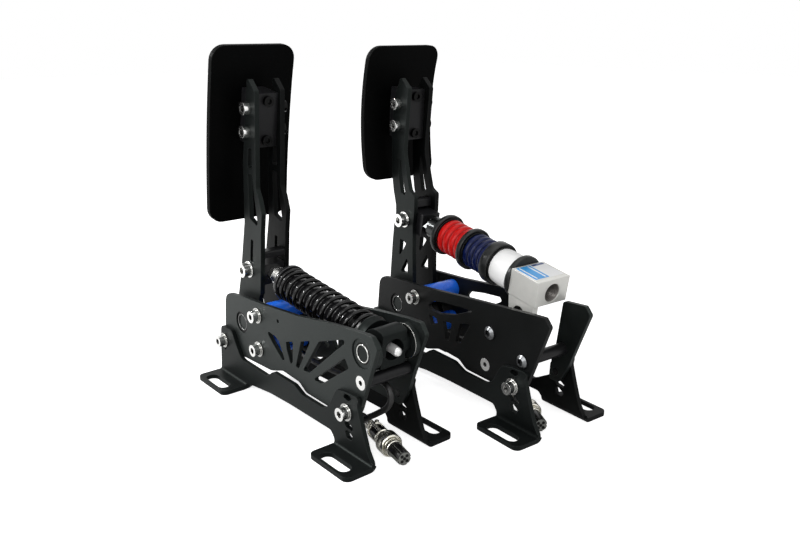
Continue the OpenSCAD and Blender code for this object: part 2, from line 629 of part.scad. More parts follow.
module brake_clevis_screw() color("#c9ccce") brake_place() clevis_screw(brake_rod_at);
// An eye block: a round eye on the screw, flat cheeks, then the rod's socket
module clevis_block(l, h, rod) difference() {
  union() {
    bar([0, 0], h / 2, -clevis_half, clevis_half);
    translate([-clevis_half, 0, -h / 2]) cube([clevis_half * 2, l, h]);
  }
  bar([0, 0], clevis_screw_r + run, -clevis_half - 1, clevis_half + 1);
  along(l - 8, l + 1, rod);
}
throttle_clevis_l = 15;
brake_clevis_l = 17;
rod_tail = 9.8;
module throttle_clevis() color("#1f2123") throttle_place()
  rod_frame(throttle_rod_at, throttle_fall) clevis_block(throttle_clevis_l, 15, rod_r);
module throttle_rod() color("#d0d3d5") throttle_place()
  rod_frame(throttle_rod_at, throttle_fall) along(throttle_clevis_l - 8, rod_span + rod_tail, rod_r);
module throttle_rod_nut() color("#cfd2d4") throttle_place()
  rod_frame(throttle_rod_at, throttle_fall) nut(throttle_clevis_l, throttle_clevis_l + 5, 11, rod_r);
module throttle_spring_collar() color("#191a1c") throttle_place()
  rod_frame(throttle_rod_at, throttle_fall) {
    sleeve(collar_at, collar_at + collar_l, collar_r, rod_r + fit);
    sleeve(collar_at + collar_l, collar_at + collar_l + guide_l, guide_r, rod_r + fit);
  }
guide_l = spring_l - 14;
spring_a = collar_at + collar_l;
spring_b = spring_a + spring_l;

// The spring: one tube swept along its curls, flat closed curls at both ends
ring_n = 8;
wire_n = 6;
coil_r = spring_r - wire_r;
// The guide tube stays inside the flats of the eight-sided curls
guide_r = coil_r * cos(180 / ring_n) - wire_r - air / 2;
end_turn = 1;
pitch_open = (spring_l - 2 * wire_r - 2 * end_turn * 2.5 * wire_r) / (curls - 2 * end_turn);
function rise(t) =
  t < end_turn ? wire_r + t * 2.5 * wire_r
  : t > curls - end_turn ? spring_l - wire_r - (curls - t) * 2.5 * wire_r
  : wire_r + end_turn * 2.5 * wire_r + (t - end_turn) * pitch_open;
function coil(t) = [coil_r * cos(360 * t), rise(t), coil_r * sin(360 * t)];
function cross3(a, b) = [a[1] * b[2] - a[2] * b[1], a[2] * b[0] - a[0] * b[2], a[0] * b[1] - a[1] * b[0]];
coil_steps = curls * ring_n;
coil_points = [for (i = [0 : coil_steps]) coil(i / ring_n)];
module tube(path, r, n, up = [0, 1, 0]) {
  m = len(path);
  pts = [for (i = [0 : m - 1])
    let (a = path[max(0, i - 1)], b = path[min(m - 1, i + 1)],
         d = unit(b - a), s = unit(cross3(d, up)), w = cross3(s, d))
    for (j = [0 : n - 1]) path[i] + r * (cos(360 * j / n) * w + sin(360 * j / n) * s)];
  sides_f = [for (i = [0 : m - 2]) for (j = [0 : n - 1])
    let (k = (j + 1) % n, p = i * n + j, q = i * n + k)
    each [[p, q, q + n], [p, q + n, p + n]]];
  cap0 = [for (j = [1 : n - 2]) [0, j + 1, j]];
  cap1 = [for (j = [1 : n - 2]) [(m - 1) * n, (m - 1) * n + j, (m - 1) * n + j + 1]];
  polyhedron(points = pts, faces = concat(sides_f, cap0, cap1), convexity = 10);
}
// Least gap of the spring to itself, measured between curls one turn apart
coil_gap = min([for (i = [0 : coil_steps]) for (j = [i + 5 : 1 : min(coil_steps, i + 11)])
  norm(coil_points[i] - coil_points[j])]) - 2 * wire_r;
echo(spring_gap_mm = coil_gap);
module throttle_spring() color("#17181a") throttle_place()
  rod_frame(throttle_rod_at, throttle_fall) translate([0, spring_a + 0.15, 0])
    tube([for (p = coil_points) [p[0], p[1] * (spring_l - 0.3) / spring_l, p[2]]], wire_r, wire_n);

// Lower spring seat and the trunnion that the rod slides through
trunnion_bush_r = 9.4;
seat_flat = 10.5;
front_flat = 5.8;
barrel_half = 9.2;
module throttle_spring_seat() color("#1c1e20") throttle_place()
  rod_frame(throttle_rod_at, throttle_fall) difference() {
    along(spring_b, rod_span - seat_flat, spring_r);
    along(spring_b - 1, rod_span, rod_r + 0.6);
  }
module throttle_trunnion() color("#1e2022") throttle_place() difference() {
  union() {
    difference() {
      bar(trunnion, trunnion_r, -barrel_half, barrel_half);
      rod_frame(throttle_rod_at, throttle_fall) {
        translate([-20, rod_span - seat_flat - 10, -20]) cube([40, 10, 40]);
        translate([-20, rod_span + front_flat, -20]) cube([40, 10, 40]);
      }
    }
    bar(trunnion, journal_r, -half + 1, half - 1);
  }
  rod_frame(throttle_rod_at, throttle_fall) {
    along(rod_span - 40, rod_span + 40, rod_r + 0.6);
    along(rod_span - 2.5, rod_span + 40, barrel_half - 2.2);
  }
}

// Brake stack
a1 = stack_at;
a2 = a1 + ring_l + red_l;
a3 = a2 + ring_l + navy_l;
a4 = a3 + mid_ring_l + white_l;
a5 = a4 + ring_l;
module stack_place() brake_place() rod_frame(brake_rod_at, stack_fall) children();
module stack_ring(a, l) rotate_y() rotate_extrude() shape([
  [stack_bore, a], [ring_r, a, 0.8], [ring_r, a + l, 0.8], [stack_bore, a + l]
]);
module rotate_y() rotate([-90, 0, 0]) children();
// An elastomer with soft grooves round it
module elastomer(a, l, grooves) {
  step = (l - 0.2) / grooves;
  rotate_y() rotate_extrude() polygon(concat(
    [[stack_bore, a + 0.1]],
    [for (i = [0 : grooves - 1]) for (k = [0 : 5])
      [rubber_r - 1.1 * pow(abs(k - 2.5) / 2.5, 3), a + 0.1 + step * (i + k / 5 * 0.94 + 0.03)]],
    [[stack_bore, a + l - 0.1]]));
}
module brake_clevis() color("#1f2123") stack_place() {
  clevis_block(brake_clevis_l, 17, brake_rod_r);
}
module brake_rod() color("#c8cbcd") stack_place() along(brake_clevis_l - 8, a5 + 11, brake_rod_r);
module brake_rod_nut() color("#303335") stack_place() {
  nut(brake_clevis_l, brake_clevis_l + 5, 13, brake_rod_r);
  sleeve(brake_clevis_l + 5, a1, 8.2, brake_rod_r);
}
module brake_ring_1() color("#17181a") stack_place() stack_ring(a1, ring_l);
module brake_elastomer_red() color("#e02a22") stack_place() elastomer(a1 + ring_l, red_l, 4);
module brake_ring_2() color("#17181a") stack_place() stack_ring(a2, ring_l);
module brake_elastomer_navy() color("#20306e") stack_place() elastomer(a2 + ring_l, navy_l, 4);
module brake_ring_3() color("#17181a") stack_place() stack_ring(a3, mid_ring_l);
module brake_elastomer_white() color("#f2f2f0") stack_place()
  elastomer(a3 + mid_ring_l, white_l, 1);
module brake_ring_4() color("#17181a") stack_place() stack_ring(a4, ring_l);

// Load cell: a head with the rod's hole, and one thin leg down into the mount
cell_up = 9.7;
leg_rear = 116;
leg_front = 137.2;
leg_foot = 38;
leg_hole = [125, 76.2];
leg_w = 13.5;
mount_top = 62;
// The cell's right face, and the offset of its hole from the rod
cell_out = 13.6;
cell_hole = [-0.7, 0.1];
function stack_point(a, h) = [
  brake_rod_at[0] + a * cos(stack_fall) + h * sin(stack_fall),
  brake_rod_at[1] - a * sin(stack_fall) + h * cos(stack_fall)
];
module brake_load_cell() color("#cfd1d2") brake_place() difference() {
  union() {
    rod_frame(brake_rod_at, stack_fall) translate([cell_out - cell_w, a5, cell_up - cell_h])
      cube([cell_w, cell_l, cell_h]);
    sheet(cell_out - leg_t - 0.2, leg_t) shape([
      stack_point(a5 + 0.6, -2), stack_point(a5 + 0.6, cell_up - cell_h),
      [leg_rear, 76, 8], [leg_rear, leg_foot, 1], [leg_rear + leg_w, leg_foot, 1],
      [leg_rear + leg_w, 60, 6], [leg_front - 1, 72, 6], [leg_front, 79, 3],
      stack_point(a5 + cell_l - 1.5, cell_up - cell_h), stack_point(a5 + cell_l - 1.5, -2)
    ]);
  }
  rod_frame(brake_rod_at, stack_fall) translate([cell_hole[0], 0, cell_hole[1]])
    along(a5 - 1, a5 + cell_l + 1, cell_bore);
  bar(leg_hole, 5.2, 0, half);
}
mount_rear = 97;
mount_front = 124;
mount_left = 2;
module brake_cell_mount() color("#26282a") brake_place() difference() {
  sheet(-mount_left, inner + mount_left) shape([
    [mount_rear, 29, 2], [mount_rear, mount_top, 2], [mount_front, mount_top, 2], [mount_front, 36, 6],
    [mount_front - 12, 29, 6]
  ]);
  translate([cell_out - leg_t - 0.2 - fit, leg_rear - fit, leg_foot - fit]) cube([20, leg_w + 1, 40]);
  bar(mount_hi, m5_hole, inner - 7, inner + 1);
  bar(mount_lo, m5_hole, inner - 7, inner + 1);
}

// Throttle sensor: a small sealed block on the left side plate under the hub
module throttle_sensor() color("#202224") throttle_place()
  translate([-inner, -9, 23.8]) cube([4.6, 17, 9]);

// Cables and plugs
throttle_route = [
  [-14.7, 8.1, 26.1], [-14.4, 15, 25.9], [-12, 30, 25.8], [-8, 50, 27.5], [-5, 75, 30.5], [-2, 100, 35],
  [-0.5, 118, 40.5], [0, 130, 44], [0, 138.3, 45.2], [0.3, 144, 44.2], [0.6, 147.7, 40.4], [1, 147.9, 35.4],
  [1.7, 144.8, 30.2], [2.8, 138.3, 24.8], [4.6, 130.6, 19.4], [7, 122.8, 14.6], [8.9, 114.5, 11],
  [8, 106.5, 8.9], [2.3, 101.3, 7.8], [-4.5, 102.3, 7.6], [-7.6, 108.5, 7.6], [-5.6, 114, 7.6]
];
throttle_plug_at = [-3.8, 120, 7.6];
throttle_plug_to = [6.6, 167];
brake_route = [
  [11.1, 115.6, 68.5], [10.5, 107, 69], [8.5, 97, 66.5], [5.5, 89, 58], [3, 86, 46], [0, 85.5, 34],
  [-3.5, 87, 24], [-7.4, 90.4, 14.8], [-9.4, 95.8, 9.2], [-7.2, 101.4, 7.7]
];
brake_plug_at = [-4.6, 107.2, 7.6];
brake_plug_to = [15, 151];
// A smooth curve through round route points, sampled every few diameters
function curve(p, t) =
  let (n = len(p), i = min(n - 2, floor(t)), f = t - i,
       a = p[max(0, i - 1)], b = p[i], c = p[i + 1], d = p[min(n - 1, i + 2)])
  0.5 * ((2 * b) + (c - a) * f + (2 * a - 5 * b + 4 * c - d) * f * f + (3 * b - a - 3 * c + d) * f * f * f);
function route(p, per) = [for (i = [0 : (len(p) - 1) * per]) curve(p, i / per)];
module plug_frame(at, to) translate(at)
  rotate([0, 0, -atan2(to[0] - at[0], to[1] - at[1])]) children();
module throttle_cable() color("#111213") throttle_place()
  tube(route(concat(throttle_route, [throttle_plug_at]), 3), cable_r, 8, [0.3, 0, 1]);
module brake_cable() color("#111213") brake_place()
  tube(route(concat(brake_route, [brake_plug_at]), 3), cable_r, 8, [1, 0, 0.2]);
module plugs_at() {
  throttle_place() plug_frame(throttle_plug_at, throttle_plug_to) children();
  brake_place() plug_frame(brake_plug_at, brake_plug_to) children();
}
plug_a = plug_l - 15;
plug_body_r = plug_r - 1.9;
module plug_shells() color("#b9bcbe") plugs_at() union() {
  along(0, 8, plug_body_r - 2);
  along(8, plug_a, plug_body_r);
}
module plug_rings() color("#c4c7c9") plugs_at() sleeve(plug_a - 9, plug_a, plug_r, plug_body_r + fit);
module plug_inserts() color("#101112") plugs_at() along(plug_a, plug_l, plug_body_r - 1);

throttle_side_plate_right();
throttle_side_plate_left();
throttle_bracket_right();
throttle_bracket_left();
brake_side_plate_right();
brake_side_plate_left();
brake_front_plate_left();
brake_bracket_right();
brake_bracket_left();
pivot_bushes();
stop_bars();
stop_sleeves();
front_tubes();
frame_screws();
frame_washers();
flat_screws();
button_screws();
throttle_axle();
throttle_hub_rings();
throttle_arm_right();
throttle_arm_left();
throttle_arm_crossbar();
throttle_face_block();
throttle_face_plate();
throttle_arm_screws();
throttle_clevis_screw();
throttle_clevis();
throttle_rod();
throttle_rod_nut();
throttle_spring_collar();
throttle_spring();
throttle_spring_seat();
throttle_trunnion();
throttle_sensor();
brake_axle();
brake_hub_rings();
brake_arm_right();
brake_arm_left();
brake_arm_crossbar();
brake_face_block();
brake_face_plate();
brake_arm_screws();
brake_clevis_screw();
brake_clevis();
brake_rod();
brake_rod_nut();
brake_ring_1();
brake_elastomer_red();
brake_ring_2();
brake_elastomer_navy();
brake_ring_3();
brake_elastomer_white();
brake_ring_4();
brake_load_cell();
brake_cell_mount();
throttle_cable();
brake_cable();
plug_shells();
plug_rings();
plug_inserts();
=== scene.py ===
import math
import bpy
import bmesh
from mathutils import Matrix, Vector


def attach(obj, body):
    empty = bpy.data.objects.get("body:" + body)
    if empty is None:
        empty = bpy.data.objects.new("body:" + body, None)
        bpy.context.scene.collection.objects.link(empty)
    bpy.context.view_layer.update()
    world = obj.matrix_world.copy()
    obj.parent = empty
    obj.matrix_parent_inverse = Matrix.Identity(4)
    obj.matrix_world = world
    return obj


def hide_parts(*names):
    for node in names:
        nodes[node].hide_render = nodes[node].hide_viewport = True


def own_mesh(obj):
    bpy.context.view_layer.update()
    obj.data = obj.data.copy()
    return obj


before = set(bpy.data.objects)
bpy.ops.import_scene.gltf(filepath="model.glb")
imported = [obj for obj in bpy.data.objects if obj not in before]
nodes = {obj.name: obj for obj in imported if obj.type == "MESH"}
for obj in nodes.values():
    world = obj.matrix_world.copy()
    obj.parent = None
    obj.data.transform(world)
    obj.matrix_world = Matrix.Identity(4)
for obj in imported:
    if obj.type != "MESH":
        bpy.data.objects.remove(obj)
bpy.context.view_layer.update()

scene = bpy.context.scene

# Places of the two units, as in the part's source. Lengths below are millimetres unless times MM.
MM = 0.001
SHIFT = Vector((57.1913, -85.3317, 0.0))
TURN = math.radians(3.5)
BRAKE = Vector((-112.8, 41.8, 0.0))
UP = Vector((0, 0, 1))


def throttle(p):
    """A point of the throttle unit, as a place in the scene in metres."""
    return (Vector(p) + SHIFT) * MM


def brake(p):
    """A point of the brake unit, which stands turned a little, as a place in the scene in metres."""
    c, s = math.cos(TURN), math.sin(TURN)
    x, y, z = p
    return (Vector((x * c + y * s, -x * s + y * c, z)) + BRAKE + SHIFT) * MM


UNITS = {"throttle": throttle, "brake": brake}


def across(place):
    """The direction across a unit, from left to right."""
    return (place((1, 0, 0)) - place((0, 0, 0))).normalized()


# Camera, solved from the parallel plates and the feet in the photo
CAMERA_PLACE = (0.33788, 0.40712, 0.255)
CAMERA_DOWN = 0.29126
CAMERA_HEADING = 2.447007
CAMERA_LENS = 35.925
CAMERA_SHIFT = (0.0004, -0.0003)

cam_data = bpy.data.cameras.new("camera")
cam = bpy.data.objects.new("camera", cam_data)
scene.collection.objects.link(cam)
scene.camera = cam
cam_data.sensor_width = 36.0
cam_data.lens = CAMERA_LENS
cam_data.shift_x, cam_data.shift_y = CAMERA_SHIFT
cam_data.clip_start, cam_data.clip_end = 0.02, 50
cam.location = CAMERA_PLACE
cam.rotation_euler = (math.pi / 2 - CAMERA_DOWN, 0, CAMERA_HEADING)

# Shader nodes
WHITE = (1, 1, 1)
EVEN = (1, 1, 1)
SHADER = "Principled BSDF"


def feed(tree, n, inputs):
    """Set inputs of a node to plain values, or link them from other nodes' outputs."""
    for key, value in inputs.items():
        if isinstance(value, bpy.types.NodeSocket):
            tree.links.new(value, n.inputs[key])
        else:
            n.inputs[key].default_value = value


def add(tree, kind, inputs, **settings):
    n = tree.nodes.new(kind)
    for key, value in settings.items():
        setattr(n, key, value)
    feed(tree, n, inputs)
    return n


def calculate(tree, operation, *values):
    return add(tree, "ShaderNodeMath", dict(enumerate(values)), operation=operation).outputs["Value"]


def vector_number(tree, operation, *values):
    """The number that a vector operation gives, such as a length."""
    n = add(tree, "ShaderNodeVectorMath", dict(enumerate(values)), operation=operation)
    return n.outputs["Value"]


def object_coords(tree):
    return add(tree, "ShaderNodeTexCoord", {}).outputs["Object"]


def noise(tree, scale, detail=3.0, rough=0.55, stretch=EVEN):
    """Noise that stays with the piece."""
    where = add(tree, "ShaderNodeMapping", {"Vector": object_coords(tree), "Scale": stretch})
    n = add(tree, "ShaderNodeTexNoise", {"Vector": where.outputs["Vector"], "Scale": scale,
                                         "Detail": detail, "Roughness": rough})
    return n.outputs["Fac"]


def ramp(tree, factor, *stops):
    """Colours that run between two stops, each a position and a colour."""
    r = add(tree, "ShaderNodeValToRGB", {"Fac": factor})
    for element, (position, colour) in zip(r.color_ramp.elements, stops):
        element.position = position
        element.color = (*colour, 1)
    return r.outputs["Color"]


def span(tree, value, low, high, start=0.0, end=1.0):
    """Map a value between start and end to one between low and high."""
    r = add(tree, "ShaderNodeMapRange", {"Value": value, "From Min": start, "From Max": end,
                                         "To Min": low, "To Max": high})
    return r.outputs["Result"]


def mixed(tree, share, first, second, blend="MIX"):
    """Mix two colours. The sockets of a Mix node share their names, so they go by number."""
    n = add(tree, "ShaderNodeMix", {0: share, 6: first, 7: second}, data_type="RGBA", blend_type=blend)
    return n.outputs[2]


def rounded(tree, radius):
    """Normals that make edges look rounded."""
    return add(tree, "ShaderNodeBevel", {"Radius": radius}, samples=6).outputs["Normal"]


def along_edges(tree, normal):
    """A mask that is high where the rounded normal leaves the true one."""
    true_normal = add(tree, "ShaderNodeNewGeometry", {}).outputs["Normal"]
    likeness = vector_number(tree, "DOT_PRODUCT", normal, true_normal)
    return span(tree, likeness, low=0.0, high=1.0, start=0.985, end=0.8)


def relief(tree, normal, height, strength, depth):
    n = add(tree, "ShaderNodeBump", {"Strength": strength, "Distance": depth,
                                     "Height": height, "Normal": normal})
    return n.outputs["Normal"]


def recessed(tree, colour, wide, dark, low=0.38, high=0.72):
    """The colour, darkened as painted shade in holes, grooves and gaps no wider than about wide."""
    n = add(tree, "ShaderNodeAmbientOcclusion", {"Distance": wide}, samples=8)
    painted_shade = ramp(tree, n.outputs["AO"], (low, dark), (high, WHITE))
    return mixed(tree, 1.0, colour, painted_shade, "MULTIPLY")


# Kinds of material: gloss is the strength of the highlights and tint their colour
def material(name, rough=0.5, metallic=0.0, gloss=0.5, tint=WHITE, soft=0.0):
    m = bpy.data.materials.new(name)
    m.use_nodes = True
    tree = m.node_tree
    shader = tree.nodes[SHADER]
    feed(tree, shader, {"Base Color": (0.5, 0.5, 0.5, 1), "Roughness": rough, "Metallic": metallic,
                        "Specular IOR Level": gloss, "Specular Tint": (*tint, 1),
                        "Subsurface Weight": soft})
    return m, tree, shader


def painted(name, dark, light, rough, edge_scuff_and_highlight=(0.10, 0.11, 0.11), scuff_and_highlight_amount=0.55, grain=1400.0, bump=0.02 * MM,
            edge=0.5 * MM, **finish):
    """Powder coat: fine orange peel, cloudy sheen, and edges painted paler in patches, partly as scuffed
    paint and partly as a painted highlight.
    """
    m, tree, shader = material(name, **finish)
    cloud = noise(tree, scale=38.0, detail=4.0)
    coat = ramp(tree, cloud, (0.32, dark), (0.7, light))
    normal = rounded(tree, edge)
    # Paler edges: scuffed paint together with a painted highlight along the rounded edges
    patches = span(tree, noise(tree, scale=260.0, detail=4.0, rough=0.65),
                   low=0.35 * scuff_and_highlight_amount, high=scuff_and_highlight_amount, start=0.35, end=0.65)
    scuff_and_highlight_mask = calculate(tree, "MULTIPLY", along_edges(tree, normal), patches)
    peel = noise(tree, scale=grain, detail=2.0, rough=0.5)
    feed(tree, shader, {"Base Color": mixed(tree, scuff_and_highlight_mask, coat, (*edge_scuff_and_highlight, 1)),
                        "Roughness": span(tree, cloud, *rough),
                        "Normal": relief(tree, normal, peel, strength=0.5, depth=bump)})
    return m


def metal(name, base, rough=(0.18, 0.32), stretch=EVEN, grain=900.0, bump=0.01 * MM, edge=0.2 * MM,
          stain=0.85, metallic=1.0, cavity=0.0, **finish):
    """Machined or plated metal: fine streaks, faint stains, soft edges, painted shade in recesses up to
    cavity wide.
    """
    m, tree, shader = material(name, metallic=metallic, **finish)
    stains = noise(tree, scale=120.0, detail=5.0, rough=0.6)
    colour = ramp(tree, stains, (0.3, tuple(c * stain for c in base)), (0.68, base))
    if cavity:
        # Painted shade in sockets and holes, and where a head meets a washer or plate
        colour = recessed(tree, colour, cavity, dark=(0.02, 0.02, 0.02))
    streaks = noise(tree, scale=grain, rough=0.6, stretch=stretch)
    feed(tree, shader, {"Base Color": colour, "Roughness": span(tree, streaks, *rough),
                        "Normal": relief(tree, rounded(tree, edge), streaks, strength=0.4, depth=bump)})
    return m


def plastic(name, dark, light, rough=(0.3, 0.42), edge=0.4 * MM, groove=None, **finish):
    """Moulded plastic or rubber: slight mottling, fine skin, softened edges, painted shade in grooves."""
    m, tree, shader = material(name, **finish)
    cloud = noise(tree, scale=60.0, detail=4.0)
    colour = ramp(tree, cloud, (0.3, dark), (0.7, light))
    if groove:
        colour = recessed(tree, colour, wide=2.5 * MM, dark=groove, low=0.5, high=0.85)
    skin = noise(tree, scale=700.0, detail=2.0)
    feed(tree, shader, {"Base Color": colour, "Roughness": span(tree, cloud, *rough),
                        "Normal": relief(tree, rounded(tree, edge), skin, strength=0.4, depth=0.01 * MM)})
    return m


# Powder coats
COAT_TINT = (0.84, 1.0, 0.93)
plate_black = painted("plate_black", (0.0035, 0.0042, 0.0042), (0.006, 0.007, 0.007), rough=(0.40, 0.52),
                      edge_scuff_and_highlight=(0.045, 0.05, 0.05), gloss=0.27, tint=COAT_TINT)
bracket_black = painted("bracket_black", (0.003, 0.0035, 0.0036), (0.005, 0.006, 0.006), rough=(0.38, 0.5),
                        edge_scuff_and_highlight=(0.05, 0.055, 0.055), gloss=0.12, tint=COAT_TINT)
arm_black = painted("arm_black", (0.003, 0.0036, 0.0036), (0.005, 0.006, 0.006), rough=(0.38, 0.5),
                    edge_scuff_and_highlight=(0.045, 0.05, 0.05), gloss=0.15, tint=COAT_TINT)
face_black = painted("face_black", (0.0008, 0.0009, 0.0009), (0.0014, 0.0015, 0.0015), rough=(0.42, 0.55),
                     edge_scuff_and_highlight=(0.05, 0.05, 0.05), scuff_and_highlight_amount=0.5, grain=2200.0, edge=0.9 * MM, gloss=0.03)
# Shaded copies of the coats: darker, duller copies for the brake's side plates and for the left brackets
# and arms, as painted shade
brake_plate_shaded = painted("brake_plate_shaded", (0.002, 0.0024, 0.0024), (0.0035, 0.004, 0.004),
                            rough=(0.40, 0.52), edge_scuff_and_highlight=(0.04, 0.045, 0.045), gloss=0.15)
inner_shaded = painted("inner_shaded", (0.0015, 0.0018, 0.0018), (0.003, 0.0034, 0.0034), rough=(0.40, 0.52),
                      edge_scuff_and_highlight=(0.03, 0.035, 0.035), gloss=0.08)
spring_black = painted("spring_black", (0.002, 0.002, 0.0022), (0.004, 0.004, 0.0042), rough=(0.09, 0.15),
                       scuff_and_highlight_amount=0.05, grain=900.0, bump=0.01 * MM, edge=0.1 * MM, gloss=0.28)

# Anodised and blackened metal
anodised = metal("black_anodised", (0.010, 0.010, 0.011), rough=(0.26, 0.4), edge=0.4 * MM,
                 metallic=0.05, gloss=0.2)
bush_black = metal("bush_black", (0.006, 0.006, 0.006), rough=(0.2, 0.32), edge=0.6 * MM,
                   metallic=0.0, gloss=0.12)
guide_black = metal("guide_black", (0.012, 0.012, 0.013), rough=(0.10, 0.16), edge=0.4 * MM,
                    metallic=0.0, gloss=0.4)

# Bare and plated metal
# How wide a recess gets painted shade on screws and washers
CAVITY = 3 * MM
SCREW = {"base": (0.90, 0.90, 0.88), "rough": (0.12, 0.26), "cavity": CAVITY}
screw_bright = metal("screw_bright", **SCREW)
screw_grey = metal("screw_grey", (0.17, 0.175, 0.18), rough=(0.22, 0.34), cavity=CAVITY)
washer_steel = metal("washer_steel", (0.55, 0.55, 0.53), rough=(0.18, 0.3), cavity=CAVITY)
neck_steel = metal("neck_steel", (0.05, 0.052, 0.052), rough=(0.2, 0.3))
steel_bright = metal("steel_bright", (0.92, 0.92, 0.91), rough=(0.14, 0.28), metallic=0.5)
steel_dark = metal("steel_dark", (0.10, 0.10, 0.105), rough=(0.26, 0.4))
shaft_ring = metal("shaft_ring", (0.55, 0.55, 0.53), rough=(0.12, 0.2))
shaft_ring_dark = metal("shaft_ring_dark", (0.16, 0.16, 0.16), rough=(0.16, 0.26))
cell_silver = metal("cell_silver", (0.74, 0.735, 0.70), rough=(0.34, 0.46), stretch=(1, 1, 0.06),
                    stain=0.93, bump=0.02 * MM, edge=0.5 * MM, metallic=0.55)
# The thread in the load cell's hole is painted darker than the cell, a painted shade inside the hole
cell_thread = metal("cell_thread", (0.16, 0.15, 0.14), rough=(0.3, 0.45), metallic=0.6)
plug_metal = metal("plug_metal", (0.80, 0.78, 0.70), rough=(0.14, 0.3), grain=1500.0)

# Plastic and rubber
ring_black = plastic("ring_black", (0.008, 0.0085, 0.0085), (0.013, 0.014, 0.014), rough=(0.22, 0.34),
                     edge=0.6 * MM, gloss=0.26)
sleeve_blue = plastic("sleeve_blue", (0.010, 0.13, 0.80), (0.016, 0.18, 0.95), rough=(0.22, 0.34),
                      soft=0.05)
# groove is the colour of the painted shade in the elastomers' grooves
rubber_red = plastic("rubber_red", (0.52, 0.004, 0.004), (0.68, 0.008, 0.007), rough=(0.26, 0.36),
                     groove=(0.42, 0.1, 0.1), gloss=0.2)
rubber_navy = plastic("rubber_navy", (0.0012, 0.005, 0.040), (0.0025, 0.009, 0.070), rough=(0.22, 0.32),
                      groove=(0.25, 0.3, 0.35), gloss=0.2)
rubber_white = plastic("rubber_white", (0.94, 0.94, 0.935), (0.97, 0.97, 0.965), rough=(0.35, 0.45))
cable_rubber = plastic("cable_rubber", (0.004, 0.004, 0.004), (0.008, 0.008, 0.008), rough=(0.3, 0.45),
                       gloss=0.4)
plug_black = plastic("plug_black", (0.003, 0.003, 0.003), (0.007, 0.007, 0.007), rough=(0.18, 0.3),
                     edge=0.2 * MM, gloss=0.35)
# A paler grey: a painted highlight on the plug insert's front and on the walls of its slots
plug_highlight = plastic("plug_highlight", (0.10, 0.105, 0.095), (0.16, 0.165, 0.15), rough=(0.2, 0.3), edge=0.1 * MM)
# Near-black discs and faces: painted shade where holes and gaps are dark inside
hole_shade = plastic("hole_shade", (0.001, 0.001, 0.001), (0.002, 0.002, 0.002), gloss=0.1)
LABEL = {"rough": (0.25, 0.35), "edge": 0.1 * MM}
label_white = plastic("label_white", (0.84, 0.85, 0.86), (0.88, 0.88, 0.88), **LABEL)
label_blue = plastic("label_blue", (0.03, 0.30, 0.72), (0.05, 0.38, 0.82), **LABEL)
label_navy = plastic("label_navy", (0.02, 0.05, 0.16), (0.03, 0.07, 0.22), **LABEL)

# Screws that are bright outside, and blackened where the photo doesn't show them
BLACKENED = (0.012, 0.012, 0.012, 1)
ARM_SCREWS_FROM = 6 * MM
FRAME_SCREWS_FROM = 17.2 * MM


def blacken(m, place, outer, one_side):
    """Blacken what lies less than outer across a unit, on both sides of its middle unless one_side."""
    tree = m.node_tree
    shader = tree.nodes[SHADER]
    offset = add(tree, "ShaderNodeVectorMath", {0: object_coords(tree), 1: place((0, 0, 0))},
                 operation="SUBTRACT")
    x = vector_number(tree, "DOT_PRODUCT", offset.outputs["Vector"], across(place))
    if one_side:
        inside = calculate(tree, "LESS_THAN", x, outer)
    else:
        inside = calculate(tree, "COMPARE", x, 0.0, outer)
    bright = shader.inputs["Base Color"].links[0].from_socket
    feed(tree, shader, {"Base Color": mixed(tree, inside, bright, BLACKENED)})


def two_tone(name, places, outer, one_side):
    m = metal(name, **SCREW)
    for place in places:
        blacken(m, place, outer, one_side)
    return m


# Materials of the CAD nodes: the longest of these words that a node's name holds gives its look
LOOKS = {
    "side_plate": plate_black, "front_plate": plate_black, "bracket": bracket_black, "arm_right": arm_black,
    "arm_left": arm_black, "crossbar": anodised, "face_block": anodised, "face_plate": face_black,
    "arm_screws": screw_bright, "clevis_screw": screw_bright, "clevis": anodised, "axle": plate_black,
    "hub_rings": steel_dark, "pivot_bushes": plate_black, "stop_bars": steel_dark,
    "stop_sleeves": sleeve_blue, "front_tubes": anodised, "frame_screws": screw_bright,
    "frame_washers": washer_steel,
    "flat_screws": screw_bright, "button_screws": screw_grey, "throttle_rod_nut": screw_bright,
    "brake_rod_nut": neck_steel, "throttle_rod": steel_bright, "brake_rod": steel_bright,
    "throttle_spring_seat": bracket_black, "throttle_spring": spring_black, "trunnion": bracket_black,
    "sensor": plug_black, "ring": ring_black, "elastomer_red": rubber_red, "elastomer_navy": rubber_navy,
    "elastomer_white": rubber_white, "load_cell": cell_silver, "cell_mount": anodised,
    "cable": cable_rubber, "plug_shells": plug_metal, "plug_rings": plug_metal, "plug_inserts": plug_black,
}
longest_first = sorted(LOOKS, key=len, reverse=True)
for node_name, node in nodes.items():
    node.data.materials.clear()
    node.data.materials.append(LOOKS[next(word for word in longest_first if word in node_name)])
# Painted shade: the darker copies of the coat go on the brake's side plates and on the left brackets and
# arms
for node_name in ("brake_side_plate_right", "brake_side_plate_left"):
    nodes[node_name].data.materials[0] = brake_plate_shaded
for node_name in ("throttle_bracket_left", "brake_bracket_left", "throttle_arm_left", "brake_arm_left"):
    nodes[node_name].data.materials[0] = inner_shaded
for unit, unit_place in UNITS.items():
    arm_screw = two_tone(f"{unit}_arm_screw", [unit_place], ARM_SCREWS_FROM, one_side=True)
    nodes[f"{unit}_arm_screws"].data.materials[0] = arm_screw
frame_screw = two_tone("frame_screw", [throttle, brake], FRAME_SCREWS_FROM, one_side=False)
nodes["frame_screws"].data.materials[0] = frame_screw


